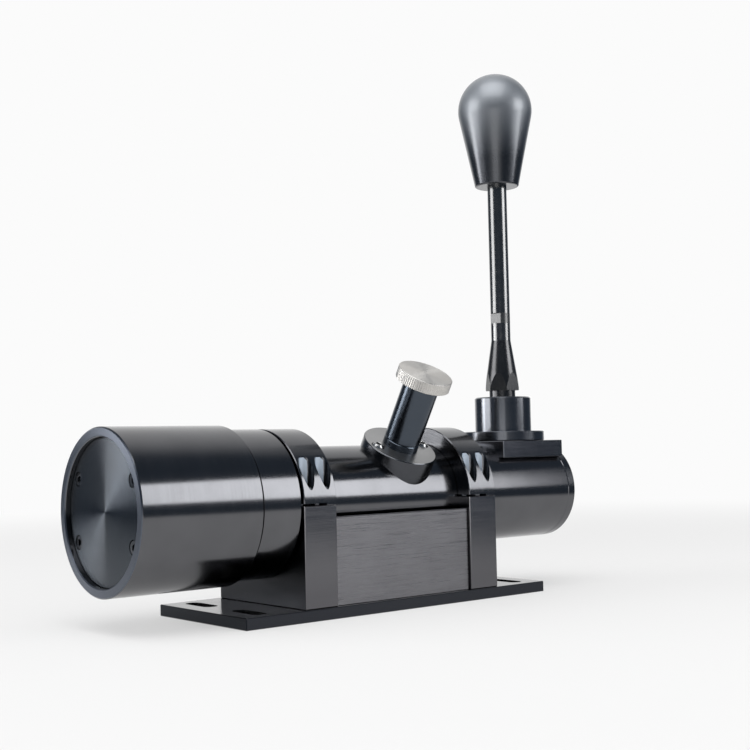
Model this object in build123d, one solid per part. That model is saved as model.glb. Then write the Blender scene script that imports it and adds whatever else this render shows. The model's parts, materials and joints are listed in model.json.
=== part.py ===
# Sim racing gear shifter: a gated gear lever over a selector shaft in a round tube.
# Millimetres. The origin is the centre of the base plate's underside, +X runs along
# the tube to the lever, -Y is the side that faces the camera, and +Z is up.
from build123d import *
import os
from math import acos, atan2, cos, hypot, pi, radians, sin

# Cuts run past the faces they break by this much
overrun = 1.0

# Screws: shank radius, head radius, head height and key size
m3_shank = 1.5
m3_head = 2.75
m3_head_height = 3.0
m3_key = 2.5
set_key_m3 = 1.5
m4_shank = 2.0
m4_head = 3.5
m4_head_height = 4.0
m4_key = 3.0
m4_button_height = 2.2
m6_shank = 3.0
m6_head = 5.6
m6_head_height = 3.3
m6_key = 4.0
thread_gap = 0.05
hole_gap = 0.25
head_sink = 0.2
key_depth_share = 0.55
tap_overrun = 1.0

# Base plate, which runs past the pedestals on all four sides
base_overhang = 36.9
base_lip = 1.5
base_thickness = 6.0
base_edge = 0.4
slot_length = 24.0
slot_width = 8.4
slot_end_margin = 14.0
slot_side_margin = 6.5

# Tube
tube_od = 58.8
tube_wall = 4.9
tube_edge = 0.4
tube_behind_lever = 25.8
wire_hole_radius = 4.0
wire_hole_x = 4.0

# Pedestals and clamp caps
pedestal_pitch = 115.6
pedestal_edge = 0.4
clamp_wall = 9.6
clamp_gap = 1.2
clamp_screw_pitch = 10.4
clamp_screw_margin = 5.1
clamp_screw_wall = 4.8
clamp_pocket_gap = 0.6
clamp_seat_rise = 4.5
clamp_screw_length = 16.0
pedestal_screw_inset = 12.0
pedestal_screw_length = 16.0

# Side plates
side_plate_thickness = 5.0
side_plate_recess = 1.8
side_plate_drop = 6.5
side_plate_fit = 0.1
side_plate_edge = 0.3
side_screw_inset = 12.4
side_screw_length = 12.0

# Front housing, its cover and the adapter ring behind it
housing_clearance = 11.2
housing_gap = 6.1
housing_wall = 5.0
housing_length = 67.0
housing_edge = 0.7
cover_recess = 3.05
cover_thickness = 6.0
cover_fit = 0.05
cover_edge = 0.3
ledge_width = 9.1
ledge_depth = 8.0
cover_screw_inset = 4.9
cover_screw_angle = 30.0
cover_pocket_gap = 0.2
cover_head_sink = 0.3
cover_screw_length = 8.0
ring_wall = 9.6
ring_length = 24.4
ring_gap = 1.7
ring_edge = 0.4
spigot_length = 16.0
spigot_fit = 0.05
web_thickness = 8.0

# Rear end cap
end_cap_thickness = 6.2
end_cap_edge = 0.6
end_cap_spigot = 7.0
end_cap_spigot_wall = 4.0
end_cap_fit = 0.05

# Selector shaft and its bearings
shaft_radius = 8.0
running_fit = 0.04
shaft_edge = 0.8
shaft_nose = 5.5
shaft_flat_depth = 1.5
bush_wall = 2.5
bush_flange_rim = 2.5
bush_flange = 2.0
front_bush_length = 14.0
bulkhead_length = 12.0
bulkhead_gap = 8.4
bulkhead_edge = 0.5
bulkhead_window_radius = 5.0
bulkhead_windows = 4

# Lever movement and the head that follows it
throw_angle = 9.0
sweep_angle = 7.0
turn_ratio = 1.9
finger_gap = 2.0
finger_ball_radius = 5.0
finger_fit = 0.3
head_gap = 4.5
head_length = 24.0
head_floor = 1.6
head_mouth = 1.6
set_screw_radius = 2.5
set_screw_sink = 1.5
set_screw_key = 2.5
set_screw_key_depth = 2.5

# Gate drum and the pin that runs in its track
drum_radius = 30.0
drum_length = 20.0
drum_setback = 32.7
drum_hub_wall = 6.0
drum_rim = 8.0
drum_recess = 6.0
gate_depth = 5.0
gate_pin_radius = 2.0
gate_fit = 0.3
gate_pin_body_radius = 3.0
gate_pin_sink = 0.4
gate_pin_gap = 0.4

# Centring hub, its springs and retainer
hub_wall = 7.0
hub_side_gap = 0.3
hub_lug_reach = 26.0
hub_lug_width = 8.0
hub_flat_fit = 0.08
hub_pocket_gap = 4.0
centring_spring_radius = 3.0
centring_spring_wire = 1.0
centring_spring_drop = 4.0
centring_spring_length = 12.0
spring_gap = 0.3
spring_seat_width = 4.0
retainer_thickness = 3.0
retainer_gap = 4.0
retainer_screw_inset = 3.1
retainer_screws = 3
retainer_screw_length = 8.0

# Sensing and electronics
magnet_radius = 4.0
magnet_length = 3.0
sensor_board_gap = 5.0
board_thickness = 1.6
chip_size = 5.0
chip_height = 1.0
controller_end_gap = 7.4
controller_near_gap = 8.2
controller_far_gap = 2.2
controller_rise = 5.0
controller_chip = 12.0
controller_chip_x = -18.0
standoff_radius = 3.0
standoff_inset = 5.0
socket_width = 12.0
socket_depth = 16.0
socket_height = 11.0
socket_wall = 1.0
socket_mouth = 9.0
socket_tongue_width = 5.6
socket_tongue_height = 3.2
socket_proud = 0.3
socket_fit = 0.2

# Lever saddle and pivot housing
lever_offset = 48.3
saddle_end_margin = 1.0
saddle_thickness = 10.1
saddle_land = 0.9
saddle_edge = 0.4
stem_hole_radius = 9.5
flange_thickness = 5.9
flange_rim = 3.8
flange_edge = 0.5
pivot_rise = 15.2
cup_rise = 11.85
cup_edge = 0.8
cup_wall = 3.3
ball_drop = 2.5
pivot_screw_gap = 0.3
pivot_screw_turn = 45.0
pivot_pocket_gap = 0.1
pivot_screw_length = 10.0
seat_ring_height = 3.0
seat_ring_lap = 0.5
seat_ring_drop = 0.8

# Pivot ball, its seats and the cross pin
ball_radius = 12.0
ball_fit = 0.25
seat_wall = 2.0
seat_split = 1.0
seat_fit = 0.05
cross_pin_radius = 2.0
cross_pin_fit = 0.05
cross_pin_engagement = 1.4
cross_pin_edge = 0.4
cross_slot_fit = 0.2
cross_slot_rise = 4.4

# Lever
journal_radius = 5.0
stem_radius = 3.0
stem_taper = 5.0
lever_neck_radius = 8.0
lever_neck_drop = 0.8
hub_gap = 4.2
cone_radius = 10.8
cone_height = 31.2
cone_flats = 6
cone_flat_depth = 1.65
cone_foot_edge = 0.5
hub_thread_depth = 17.0
rod_radius = 6.0
rod_length = 97.1
rod_spigot_radius = 4.0
rod_spigot_length = 12.0
rod_in_knob = 36.0
rod_edge = 0.4
spanner_flat_depth = 1.75
spanner_rise = 10.8
spanner_length = 6.3
knob_foot_radius = 13.6
knob_radius = 23.1
knob_height = 71.4
knob_foot_edge = 1.2
knob_fit = 0.05

# Drag adjuster on the tube
tower_setback = 31.4
tower_tilt = 30.0
drag_saddle_rim = 11.0
drag_saddle_land = 4.1
drag_saddle_edge = 0.4
drag_screw_gap = 6.2
drag_screw_sink = 0.8
drag_screw_length = 8.0
tower_height = 38.0
tower_wall = 3.6
tower_edge = 0.6
tower_groove_rise = 4.0
tower_groove = 0.5
tower_spigot_wall = 2.5
tower_spigot_fit = 0.3
tower_spigot_reach = 6.5
tower_bore = 6.5
tower_roof = 4.0
keyway_width = 3.0
keyway_depth = 1.5
keyway_run = 12.0
drag_pad_fit = 0.05
drag_pad_height = 13.7
drag_pad_gap = 0.3
drag_spring_gap = 0.6
drag_spring_wire = 1.3
nut_fit = 0.08
nut_drop = 6.5
nut_height = 5.0
nut_key_fit = 0.2
nut_key_gap = 0.3
adjuster_radius = 4.0
adjuster_fit = 0.05
adjuster_roof_fit = 0.1
adjuster_tail = 10.0
adjuster_groove = 0.7
clip_wall = 2.3
clip_thickness = 1.0
clip_gap = 0.3
washer_inset = 1.3
washer_thickness = 0.6
cap_gap = 0.3
cap_overhang = 5.3
cap_height = 6.5
cap_edge = 0.5
cap_bore_depth = 4.0

# Clamps and base plate, worked out from the tube and the screws
tube_radius = tube_od / 2
tube_bore = tube_radius - tube_wall
clamp_radius = tube_radius + clamp_wall
clamp_od = 2 * clamp_radius
clamp_screw_y = tube_radius + clamp_screw_wall
clamp_pocket_radius = m4_head + clamp_pocket_gap
pedestal_depth = clamp_od
pedestal_width = clamp_screw_pitch + 2 * clamp_screw_margin
pedestal_face = (pedestal_pitch + pedestal_width) / 2
pedestal_screw_y = clamp_radius - pedestal_screw_inset
base_length = 2 * (pedestal_face + base_overhang)
base_width = pedestal_depth + 2 * base_lip
slot_pitch_x = base_length - 2 * slot_end_margin
slot_pitch_y = base_width - 2 * slot_side_margin - slot_length

# Housing, worked out from the drum inside it
housing_bore = drum_radius + housing_gap
housing_radius = housing_bore + housing_wall
axis_height = base_thickness + housing_clearance + housing_radius
pedestal_top = axis_height - clamp_gap / 2
cap_foot = axis_height + clamp_gap / 2
ring_radius = tube_radius + ring_wall
ring_end = -pedestal_face - ring_gap
ring_start = ring_end - ring_length
housing_front = ring_start - housing_length
cover_face = housing_front + cover_recess
cover_back = cover_face + cover_thickness
cover_screw_circle = housing_bore - cover_screw_inset
cover_pocket_radius = m4_head + cover_pocket_gap
cover_pocket_depth = m4_head_height + cover_head_sink
ledge_back = cover_back + ledge_depth
web_front = ring_start - web_thickness
spigot_front = ring_start - spigot_length
retainer_front = spigot_front - retainer_thickness
retainer_bore_radius = shaft_radius + retainer_gap
retainer_screw_circle = housing_bore - retainer_screw_inset
sensor_board_radius = housing_bore - ledge_width - sensor_board_gap

# Side plates and the board between them
side_plate_face = pedestal_depth / 2 - side_plate_recess
side_plate_back = side_plate_face - side_plate_thickness
side_plate_height = pedestal_top - side_plate_drop - base_thickness
side_plate_length = pedestal_pitch - pedestal_width - 2 * side_plate_fit
side_screw_pitch = side_plate_length - 2 * side_screw_inset
controller_length = side_plate_length - 2 * controller_end_gap
controller_low_y = controller_near_gap - side_plate_back
controller_high_y = side_plate_back - controller_far_gap
socket_foot = base_thickness + controller_rise + board_thickness

# Lever pivot, worked out from the tube and the ball
lever_x = pedestal_face + lever_offset
tube_reach = lever_x + tube_behind_lever
saddle_top = axis_height + tube_radius + saddle_land
saddle_foot = saddle_top - saddle_thickness
flange_top = saddle_top + flange_thickness
pivot_height = saddle_top + pivot_rise
cup_bore = ball_radius + seat_wall
cup_radius = cup_bore + cup_wall
cup_top = pivot_height + cup_rise
pivot_pocket_radius = m4_head + pivot_pocket_gap
pivot_pocket_depth = m4_head_height + head_sink
pivot_screw_circle = cup_radius + pivot_pocket_radius + pivot_screw_gap
flange_radius = pivot_screw_circle + flange_rim
saddle_width = 2 * flange_radius
saddle_length = saddle_width + 2 * saddle_end_margin
seat_ring_top = cup_top - seat_ring_drop
seat_ring_foot = seat_ring_top - seat_ring_height
seat_ring_bore = ball_radius - seat_ring_lap
seat_foot = pivot_height - ball_radius + ball_drop
cross_pin_reach = cup_bore + cross_pin_engagement
neck_foot = cup_top - lever_neck_drop
cone_foot = cup_top + hub_gap
cone_top = cone_foot + cone_height
cone_flat_reach = cone_radius - cone_flat_depth
spanner_flat = rod_radius - spanner_flat_depth
knob_foot = cone_top + rod_length
knob_top = knob_foot + knob_height
rod_top = knob_foot + rod_in_knob

# Selector shaft, worked out from the lever above it
finger_height = axis_height + shaft_radius + finger_gap + finger_ball_radius
finger_arm = pivot_height - finger_height
shaft_travel = finger_arm * radians(throw_angle)
turn_angle = sweep_angle * turn_ratio
shaft_flat = shaft_radius - shaft_flat_depth
bush_radius = shaft_radius + bush_wall
bush_flange_radius = bush_radius + bush_flange_rim
head_radius = tube_bore - head_gap
head_bore_floor = shaft_radius + head_floor
head_back = lever_x + head_length / 2
head_front = lever_x - head_length / 2
bulkhead_back = head_front - bulkhead_gap
bulkhead_front = bulkhead_back - bulkhead_length
bulkhead_window_circle = bush_flange_radius + bulkhead_window_radius
drum_x = housing_front + drum_setback
drum_front = drum_x - drum_length / 2
drum_hub_radius = shaft_radius + drum_hub_wall
shaft_front = drum_front - shaft_nose
hub_radius = shaft_radius + hub_wall
hub_pocket_radius = hub_lug_reach + hub_pocket_gap
centring_spring_arm = hub_lug_reach - centring_spring_drop

# Drag adjuster, worked out from the tube and the tower's bore
tower_x = pedestal_pitch / 2 - pedestal_width / 2 - tower_setback
tower_radius = tower_bore + tower_wall
tower_spigot_radius = tower_bore + tower_spigot_wall
tower_spigot_end = tube_bore - tower_spigot_reach
drag_saddle_radius = tower_radius + drag_saddle_rim
drag_saddle_rise = tube_radius + drag_saddle_land
drag_screw_reach = tower_radius + drag_screw_gap
tower_top = drag_saddle_rise + tower_height
tower_roof_foot = tower_top - tower_roof
drag_pad_radius = tower_bore - drag_pad_fit
drag_pad_top = shaft_radius + drag_pad_gap + drag_pad_height
drag_spring_radius = tower_bore - drag_spring_gap
nut_radius = tower_bore - nut_fit
nut_top = tower_top - nut_drop
nut_foot = nut_top - nut_height
nut_key_reach = tower_bore + keyway_depth - nut_key_gap
keyway_foot = nut_foot - keyway_run
adjuster_foot = nut_foot - adjuster_tail
clip_top = tower_roof_foot - clip_gap
clip_radius = adjuster_radius - adjuster_groove + clip_wall
washer_radius = tower_radius - washer_inset
cap_foot_rise = tower_top + washer_thickness + cap_gap
cap_radius = tower_radius + cap_overhang

upright = (Align.CENTER, Align.CENTER, Align.MIN)


# Shared shapes
def post(radius, low, high):
    """Cylinder along Z between two heights."""
    return Pos(0, 0, low) * Cylinder(radius, high - low, align=upright)


def block(low, high):
    """Box between two opposite corners."""
    size = [far - near for near, far in zip(low, high)]
    return Pos(*low) * Box(*size, align=(Align.MIN, Align.MIN, Align.MIN))


def turned(points):
    """Solid of revolution about Z from (radius, height) points."""
    outline = Polyline(*[(radius, 0, height) for radius, height in points], close=True)
    return revolve(make_face(outline), Axis.Z)


def washer(radius, bore, low, high, edge):
    """Ring between two heights, with its four rims chamfered alike."""
    return turned([
        (bore, low + edge),
        (bore + edge, low),
        (radius - edge, low),
        (radius, low + edge),
        (radius, high - edge),
        (radius - edge, high),
        (bore + edge, high),
        (bore, high - edge),
    ])


def disc(radius, low, high, edge):
    """Plain disc between two heights, with both rims chamfered."""
    return turned([
        (0, low),
        (radius - edge, low),
        (radius, low + edge),
        (radius, high - edge),
        (radius - edge, high),
        (0, high),
    ])


def hexagon(across, low, high):
    """Hexagonal prism along Z, its size given across the flats."""
    prism = extrude(RegularPolygon(across / 2, 6, major_radius=False), high - low)
    return Pos(0, 0, low) * prism


def cap_screw(shank, head, head_height, key, length):
    """Socket screw along Z, its head's underside at the origin."""
    screw = post(shank, -length, head_height) + post(head, 0, head_height)
    socket = hexagon(key, head_height * (1 - key_depth_share), head_height + overrun)
    return screw - socket


def flat_screw(shank, head, head_height, key, length):
    """Countersunk screw along Z, its head's flat face at the origin."""
    cone = turned([(0, -head_height), (shank, -head_height), (head, 0), (0, 0)])
    screw = cone + post(shank, -length, -head_height)
    return screw - hexagon(key, -head_height * key_depth_share, overrun)


def set_screw(shank, key, key_depth, low, high):
    """Headless screw along Z with its key socket at the top."""
    return post(shank, low, high) - hexagon(key, high - key_depth, high + overrun)


def on_tube(shape):
    """Turn a shape made along Z so that it lies along the tube's axis."""
    return Pos(0, 0, axis_height) * Rot(0, 90, 0) * shape


def on_pivot(shape):
    """Set a shape made about the origin at the lever's pivot."""
    return Pos(lever_x, 0, pivot_height) * shape


def on_lever(shape):
    """Set a shape made about Z on the lever's upright axis."""
    return Pos(lever_x, 0, 0) * shape


def on_tower(shape):
    """Set a shape made along Z, with the tube's axis at zero, along the tower."""
    return Pos(tower_x, 0, axis_height) * Rot(tower_tilt, 0, 0) * shape


def group(solids):
    """Separate solids that share one node."""
    return Compound(list(solids))


def tube_solid(start, end, radius=tube_radius):
    """Solid cylinder on the tube's axis between two places along X."""
    return on_tube(post(radius, start, end))


# Places that several pieces share
def pedestal_places():
    """Front and rear pedestal centres along X."""
    return [-pedestal_pitch / 2, pedestal_pitch / 2]


def clamp_screw_places(centre):
    """The four clamp screws of one pedestal."""
    return [
        (centre + along * clamp_screw_pitch / 2, across * clamp_screw_y)
        for along in (-1, 1)
        for across in (-1, 1)
    ]


def side_screw_places():
    """Screws that hold the side plates down to the base plate."""
    middle = (side_plate_face + side_plate_back) / 2
    return [
        (along * side_screw_pitch / 2, across * middle)
        for along in (-1, 1)
        for across in (-1, 1)
    ]


def cover_screw_places():
    """Screw places on the cover, as (Z across the cover, Y) before it is laid over."""
    turns = [half + side * cover_screw_angle for half in (0, 180) for side in (1, -1)]
    return [
        (cover_screw_circle * sin(radians(turn)), cover_screw_circle * cos(radians(turn)))
        for turn in turns
    ]


def pivot_screw_places():
    """Screws that clamp the pivot housing and the lever saddle to the tube."""
    reach = pivot_screw_circle * sin(radians(pivot_screw_turn))
    return [(across * reach, along * reach) for across in (-1, 1) for along in (-1, 1)]


def standoff_places():
    """Standoffs under the controller board."""
    reach = controller_length / 2 - standoff_inset
    rows = (controller_low_y + standoff_inset, controller_high_y - standoff_inset)
    return [(side * reach, row) for side in (-1, 1) for row in rows]


# Base plate
def mounting_slots():
    """The four slots that bolt the shifter down, cut across the plate."""
    outline = Rot(0, 0, 90) * SlotOverall(slot_length, slot_width)
    cutter = Pos(0, 0, -overrun) * extrude(outline, base_thickness + 2 * overrun)
    return [
        Pos(along * slot_pitch_x / 2, across * slot_pitch_y / 2, 0) * cutter
        for along in (-1, 1)
        for across in (-1, 1)
    ]


def base_plate():
    """Flat plate with four slots and countersunk holes from below."""
    plate = block(
        (-base_length / 2, -base_width / 2, 0),
        (base_length / 2, base_width / 2, base_thickness),
    )
    plate = chamfer(plate.edges(), base_edge)
    for slot in mounting_slots():
        plate -= slot
    seat = post(m6_shank + hole_gap, -overrun, base_thickness + overrun)
    seat += turned([
        (0, -overrun),
        (m6_head + hole_gap, -overrun),
        (m6_head + hole_gap, head_sink),
        (m6_shank + hole_gap, head_sink + m6_head_height),
        (0, head_sink + m6_head_height),
    ])
    for centre in pedestal_places():
        for across in (-1, 1):
            plate -= Pos(centre, across * pedestal_screw_y, 0) * seat
    hole = post(m3_shank + hole_gap, -overrun, base_thickness + overrun)
    hole += post(m3_head + hole_gap, -overrun, m3_head_height + head_sink)
    for along, across in side_screw_places():
        plate -= Pos(along, across, 0) * hole
    return plate


# Pedestals and clamp caps
def pedestal(centre):
    """Milled block with the lower half of the tube's seat."""
    body = block(
        (centre - pedestal_width / 2, -pedestal_depth / 2, base_thickness),
        (centre + pedestal_width / 2, pedestal_depth / 2, pedestal_top),
    )
    body = chamfer(body.edges(), pedestal_edge)
    body -= tube_solid(centre - pedestal_width, centre + pedestal_width)
    tapped = post(
        m4_shank + thread_gap,
        axis_height + clamp_seat_rise - clamp_screw_length - tap_overrun,
        pedestal_top + overrun,
    )
    for along, across in clamp_screw_places(centre):
        body -= Pos(along, across, 0) * tapped
    foot_hole = post(
        m6_shank + thread_gap,
        base_thickness - overrun,
        head_sink + pedestal_screw_length + tap_overrun,
    )
    for across in (-1, 1):
        body -= Pos(centre, across * pedestal_screw_y, 0) * foot_hole
    return body


def clamp_cap(centre):
    """Upper half of a tube clamp, an arch with four sunk screw pockets."""
    arch = Pos(centre, 0, 0) * on_tube(
        washer(clamp_radius, tube_radius, -pedestal_width / 2, pedestal_width / 2, pedestal_edge)
    )
    below = block(
        (centre - pedestal_width, -clamp_od, 0),
        (centre + pedestal_width, clamp_od, cap_foot),
    )
    arch -= below
    seat = axis_height + clamp_seat_rise
    pocket = post(clamp_pocket_radius, seat, axis_height + clamp_radius)
    hole = post(m4_shank + hole_gap, cap_foot - overrun, seat + overrun)
    for along, across in clamp_screw_places(centre):
        arch -= Pos(along, across, 0) * (pocket + hole)
    return arch


def clamp_screws():
    """Eight screws that pull the clamp caps down onto the tube."""
    screw = cap_screw(m4_shank, m4_head, m4_head_height, m4_key, clamp_screw_length)
    places = [spot for centre in pedestal_places() for spot in clamp_screw_places(centre)]
    return group(
        Pos(along, across, axis_height + clamp_seat_rise) * screw
        for along, across in places
    )


def pedestal_screws():
    """Countersunk screws up through the base plate into the pedestals."""
    screw = flat_screw(m6_shank, m6_head, m6_head_height, m6_key, pedestal_screw_length)
    return group(
        Pos(centre, across * pedestal_screw_y, head_sink) * Rot(180, 0, 0) * screw
        for centre in pedestal_places()
        for across in (-1, 1)
    )


# Side plates
def side_plate(side):
    """Plate that closes one side of the bay between the pedestals."""
    faces = sorted((side * side_plate_face, side * side_plate_back))
    plate = block(
        (-side_plate_length / 2, faces[0], base_thickness),
        (side_plate_length / 2, faces[1], base_thickness + side_plate_height),
    )
    plate = chamfer(plate.edges(), side_plate_edge)
    tapped = post(
        m3_shank + thread_gap,
        base_thickness - overrun,
        m3_head_height + head_sink + side_screw_length + tap_overrun,
    )
    for along, across in side_screw_places():
        if across * side > 0:
            plate -= Pos(along, across, 0) * tapped
    return plate


def far_side_plate():
    """Side plate with the opening for the data socket."""
    opening = block(
        (-socket_width / 2 - socket_fit, 0, socket_foot - socket_fit),
        (socket_width / 2 + socket_fit, pedestal_depth, socket_foot + socket_height + socket_fit),
    )
    return side_plate(1) - opening


def side_plate_screws():
    """Four screws up through the base plate into the side plates."""
    screw = cap_screw(m3_shank, m3_head, m3_head_height, m3_key, side_screw_length)
    seat = m3_head_height + head_sink
    return group(
        Pos(along, across, seat) * Rot(180, 0, 0) * screw
        for along, across in side_screw_places()
    )


# Main tube
def main_tube():
    """Tube with holes for the lever finger, the drag tower, screws and wires."""
    tube = on_tube(washer(tube_radius, tube_bore, ring_start, tube_reach, tube_edge))
    tube -= on_lever(post(stem_hole_radius, axis_height, saddle_top))
    tube -= on_tower(post(tower_spigot_radius + tower_spigot_fit, 0, drag_saddle_rise))
    screw_foot = flange_top - pivot_pocket_depth - pivot_screw_length - tap_overrun
    for along, across in pivot_screw_places():
        tapped = post(m4_shank + thread_gap, screw_foot, saddle_top)
        tube -= Pos(lever_x + along, across, 0) * tapped
    drag_foot = drag_saddle_rise - drag_screw_sink - drag_screw_length - tap_overrun
    for side in (-1, 1):
        tapped = Pos(side * drag_screw_reach, 0, 0) * post(
            m4_shank + thread_gap, drag_foot, drag_saddle_rise
        )
        tube -= on_tower(tapped)
    tube -= Pos(wire_hole_x, 0, 0) * post(wire_hole_radius, base_thickness, axis_height)
    return tube


# Front housing and cover
def front_housing():
    """Turned shell with a recess and a screw ledge for the cover."""
    length = housing_length
    shell = turned([
        (housing_bore, housing_edge),
        (housing_bore + housing_edge, 0),
        (housing_radius - housing_edge, 0),
        (housing_radius, housing_edge),
        (housing_radius, length - ring_edge),
        (housing_radius - ring_edge, length),
        (housing_bore, length),
        (housing_bore, cover_recess + cover_thickness + ledge_depth),
        (housing_bore - ledge_width, cover_recess + cover_thickness + ledge_depth),
        (housing_bore - ledge_width, cover_recess + cover_thickness),
        (housing_bore, cover_recess + cover_thickness),
    ])
    shell = Pos(housing_front, 0, 0) * on_tube(shell)
    tapped = post(m4_shank + thread_gap, cover_back - overrun, ledge_back + overrun)
    for over, across in cover_screw_places():
        shell -= on_tube(Pos(over, across, 0) * tapped)
    pin_hole = post(gate_pin_body_radius + thread_gap, -clamp_od, -drum_radius)
    return shell - Pos(drum_x, 0, axis_height) * pin_hole


def front_cover():
    """Round cover set back in the housing, with four sunk screws."""
    cover = on_tube(disc(housing_bore - cover_fit, cover_face, cover_back, cover_edge))
    pocket = post(cover_pocket_radius, cover_face - overrun, cover_face + cover_pocket_depth)
    hole = post(m4_shank + hole_gap, cover_face, cover_back + overrun)
    for over, across in cover_screw_places():
        cover -= on_tube(Pos(over, across, 0) * (pocket + hole))
    return cover


def front_cover_screws():
    """Four screws that hold the cover to the housing's ledge."""
    screw = Rot(180, 0, 0) * cap_screw(
        m4_shank, m4_head, m4_head_height, m4_key, cover_screw_length
    )
    return group(
        on_tube(Pos(over, across, cover_face + cover_pocket_depth) * screw)
        for over, across in cover_screw_places()
    )


# Adapter ring between the housing and the tube
def spring_seat_face():
    """Distance of each spring seat's inner face from the middle plane."""
    return hub_lug_width / 2 + centring_spring_length + 2 * spring_gap


def adapter_ring():
    """Ring that sockets the tube, plugs the housing and holds the front bush."""
    spigot_radius = housing_bore - spigot_fit
    body = on_tube(turned([
        (bush_radius, web_front),
        (hub_pocket_radius, web_front),
        (hub_pocket_radius, spigot_front),
        (spigot_radius - ring_edge, spigot_front),
        (spigot_radius, spigot_front + ring_edge),
        (spigot_radius, ring_start),
        (ring_radius - ring_edge, ring_start),
        (ring_radius, ring_start + ring_edge),
        (ring_radius, ring_end - ring_edge),
        (ring_radius - ring_edge, ring_end),
        (tube_radius, ring_end),
        (tube_radius, ring_start),
        (bush_radius, ring_start),
    ]))
    half_height = centring_spring_radius + spring_gap
    for side in (-1, 1):
        inner = side * spring_seat_face()
        outer = side * (spring_seat_face() + spring_seat_width)
        seat = block(
            (spigot_front, min(inner, outer), axis_height + centring_spring_arm - half_height),
            (web_front, max(inner, outer), axis_height + centring_spring_arm + half_height),
        )
        pocket = tube_solid(spigot_front, web_front, hub_pocket_radius)
        body += seat & pocket
    tapped = post(
        m3_shank + thread_gap,
        spigot_front - overrun,
        retainer_front + retainer_screw_length + tap_overrun,
    )
    for turn in retainer_turns():
        spot = Rot(0, 0, turn) * Pos(retainer_screw_circle, 0, 0)
        body -= on_tube(spot * tapped)
    return body


def retainer_turns():
    """Angles of the retainer's screws about the tube's axis."""
    return [360 * index / retainer_screws for index in range(retainer_screws)]


def hub_retainer():
    """Thin plate that keeps the centring hub in its pocket."""
    plate = on_tube(washer(
        housing_bore - spigot_fit,
        retainer_bore_radius,
        retainer_front,
        spigot_front,
        ring_edge,
    ))
    hole = post(m3_shank + hole_gap, retainer_front - overrun, spigot_front + overrun)
    for turn in retainer_turns():
        plate -= on_tube(Rot(0, 0, turn) * Pos(retainer_screw_circle, 0, 0) * hole)
    return plate


def retainer_screws_node():
    """Headless screws flush with the retainer."""
    screw = set_screw(m3_shank, set_key_m3, m3_shank, -retainer_screw_length, 0)
    return group(
        on_tube(
            Rot(0, 0, turn) * Pos(retainer_screw_circle, 0, retainer_front)
            * Rot(180, 0, 0) * screw
        )
        for turn in retainer_turns()
    )


# Bearings
def front_bush():
    """Flanged bush in the adapter ring's web."""
    rear = web_front + front_bush_length
    bush = turned([
        (shaft_radius + running_fit, web_front),
        (bush_radius, web_front),
        (bush_radius, ring_start),
        (bush_flange_radius, ring_start),
        (bush_flange_radius, ring_start + bush_flange),
        (bush_radius, ring_start + bush_flange),
        (bush_radius, rear),
        (shaft_radius + running_fit, rear),
    ])
    return on_tube(bush)


def rear_bulkhead():
    """Round bulkhead inside the tube that carries the rear bush."""
    body = on_tube(
        washer(tube_bore, bush_radius, bulkhead_front, bulkhead_back, bulkhead_edge)
    )
    window = post(bulkhead_window_radius, bulkhead_front - overrun, bulkhead_back + overrun)
    for index in range(bulkhead_windows):
        turn = 360 * (index + 1 / 2) / bulkhead_windows
        body -= on_tube(Rot(0, 0, turn) * Pos(bulkhead_window_circle, 0, 0) * window)
    return body


def rear_bush():
    """Flanged bush in the bulkhead."""
    bush = turned([
        (shaft_radius + running_fit, bulkhead_front - bush_flange),
        (bush_flange_radius, bulkhead_front - bush_flange),
        (bush_flange_radius, bulkhead_front),
        (bush_radius, bulkhead_front),
        (bush_radius, bulkhead_back),
        (shaft_radius + running_fit, bulkhead_back),
    ])
    return on_tube(bush)


def rear_end_cap():
    """Flush cap whose spigot closes the rear of the tube."""
    spigot = tube_bore - end_cap_fit
    rear = tube_reach + end_cap_thickness
    front = tube_reach - end_cap_spigot
    cap = turned([
        (0, tube_reach),
        (spigot - end_cap_spigot_wall, tube_reach),
        (spigot - end_cap_spigot_wall, front),
        (spigot - end_cap_edge, front),
        (spigot, front + end_cap_edge),
        (spigot, tube_reach),
        (tube_radius - tube_edge, tube_reach),
        (tube_radius, tube_reach + tube_edge),
        (tube_radius, rear - end_cap_edge),
        (tube_radius - end_cap_edge, rear),
        (0, rear),
    ])
    return on_tube(cap)


# Selector shaft and what it carries
def selector_shaft():
    """Round shaft with two flats for the hub and a pocket for the magnet."""
    shaft = on_tube(disc(shaft_radius, shaft_front, head_back, shaft_edge))
    flat_start = spigot_front - 2 * shaft_travel
    flat_end = web_front + 2 * shaft_travel
    for side in (-1, 1):
        edges = sorted((side * shaft_flat, side * (shaft_radius + overrun)))
        shaft -= block(
            (flat_start, edges[0], axis_height - shaft_radius - overrun),
            (flat_end, edges[1], axis_height + shaft_radius + overrun),
        )
    return shaft - tube_solid(shaft_front - overrun, shaft_front + magnet_length, magnet_radius)


def position_magnet():
    """Magnet in the shaft's nose, read by the sensor board."""
    return tube_solid(shaft_front, shaft_front + magnet_length, magnet_radius)


def selector_head():
    """Block on the shaft whose radial bore takes the lever's lower ball."""
    head = on_tube(
        washer(head_radius, shaft_radius, head_front, head_back, shaft_edge)
    )
    bore = finger_ball_radius + finger_fit
    mouth = turned([
        (0, head_bore_floor),
        (bore, head_bore_floor),
        (bore, head_radius - 2 * head_mouth),
        (bore + 2 * head_mouth, head_radius),
        (bore + 2 * head_mouth, head_radius + overrun),
        (0, head_radius + overrun),
    ])
    head -= Pos(lever_x, 0, axis_height) * mouth
    return head - Pos(lever_x, 0, axis_height) * post(
        set_screw_radius + thread_gap, -head_radius - overrun, 0
    )


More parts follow.
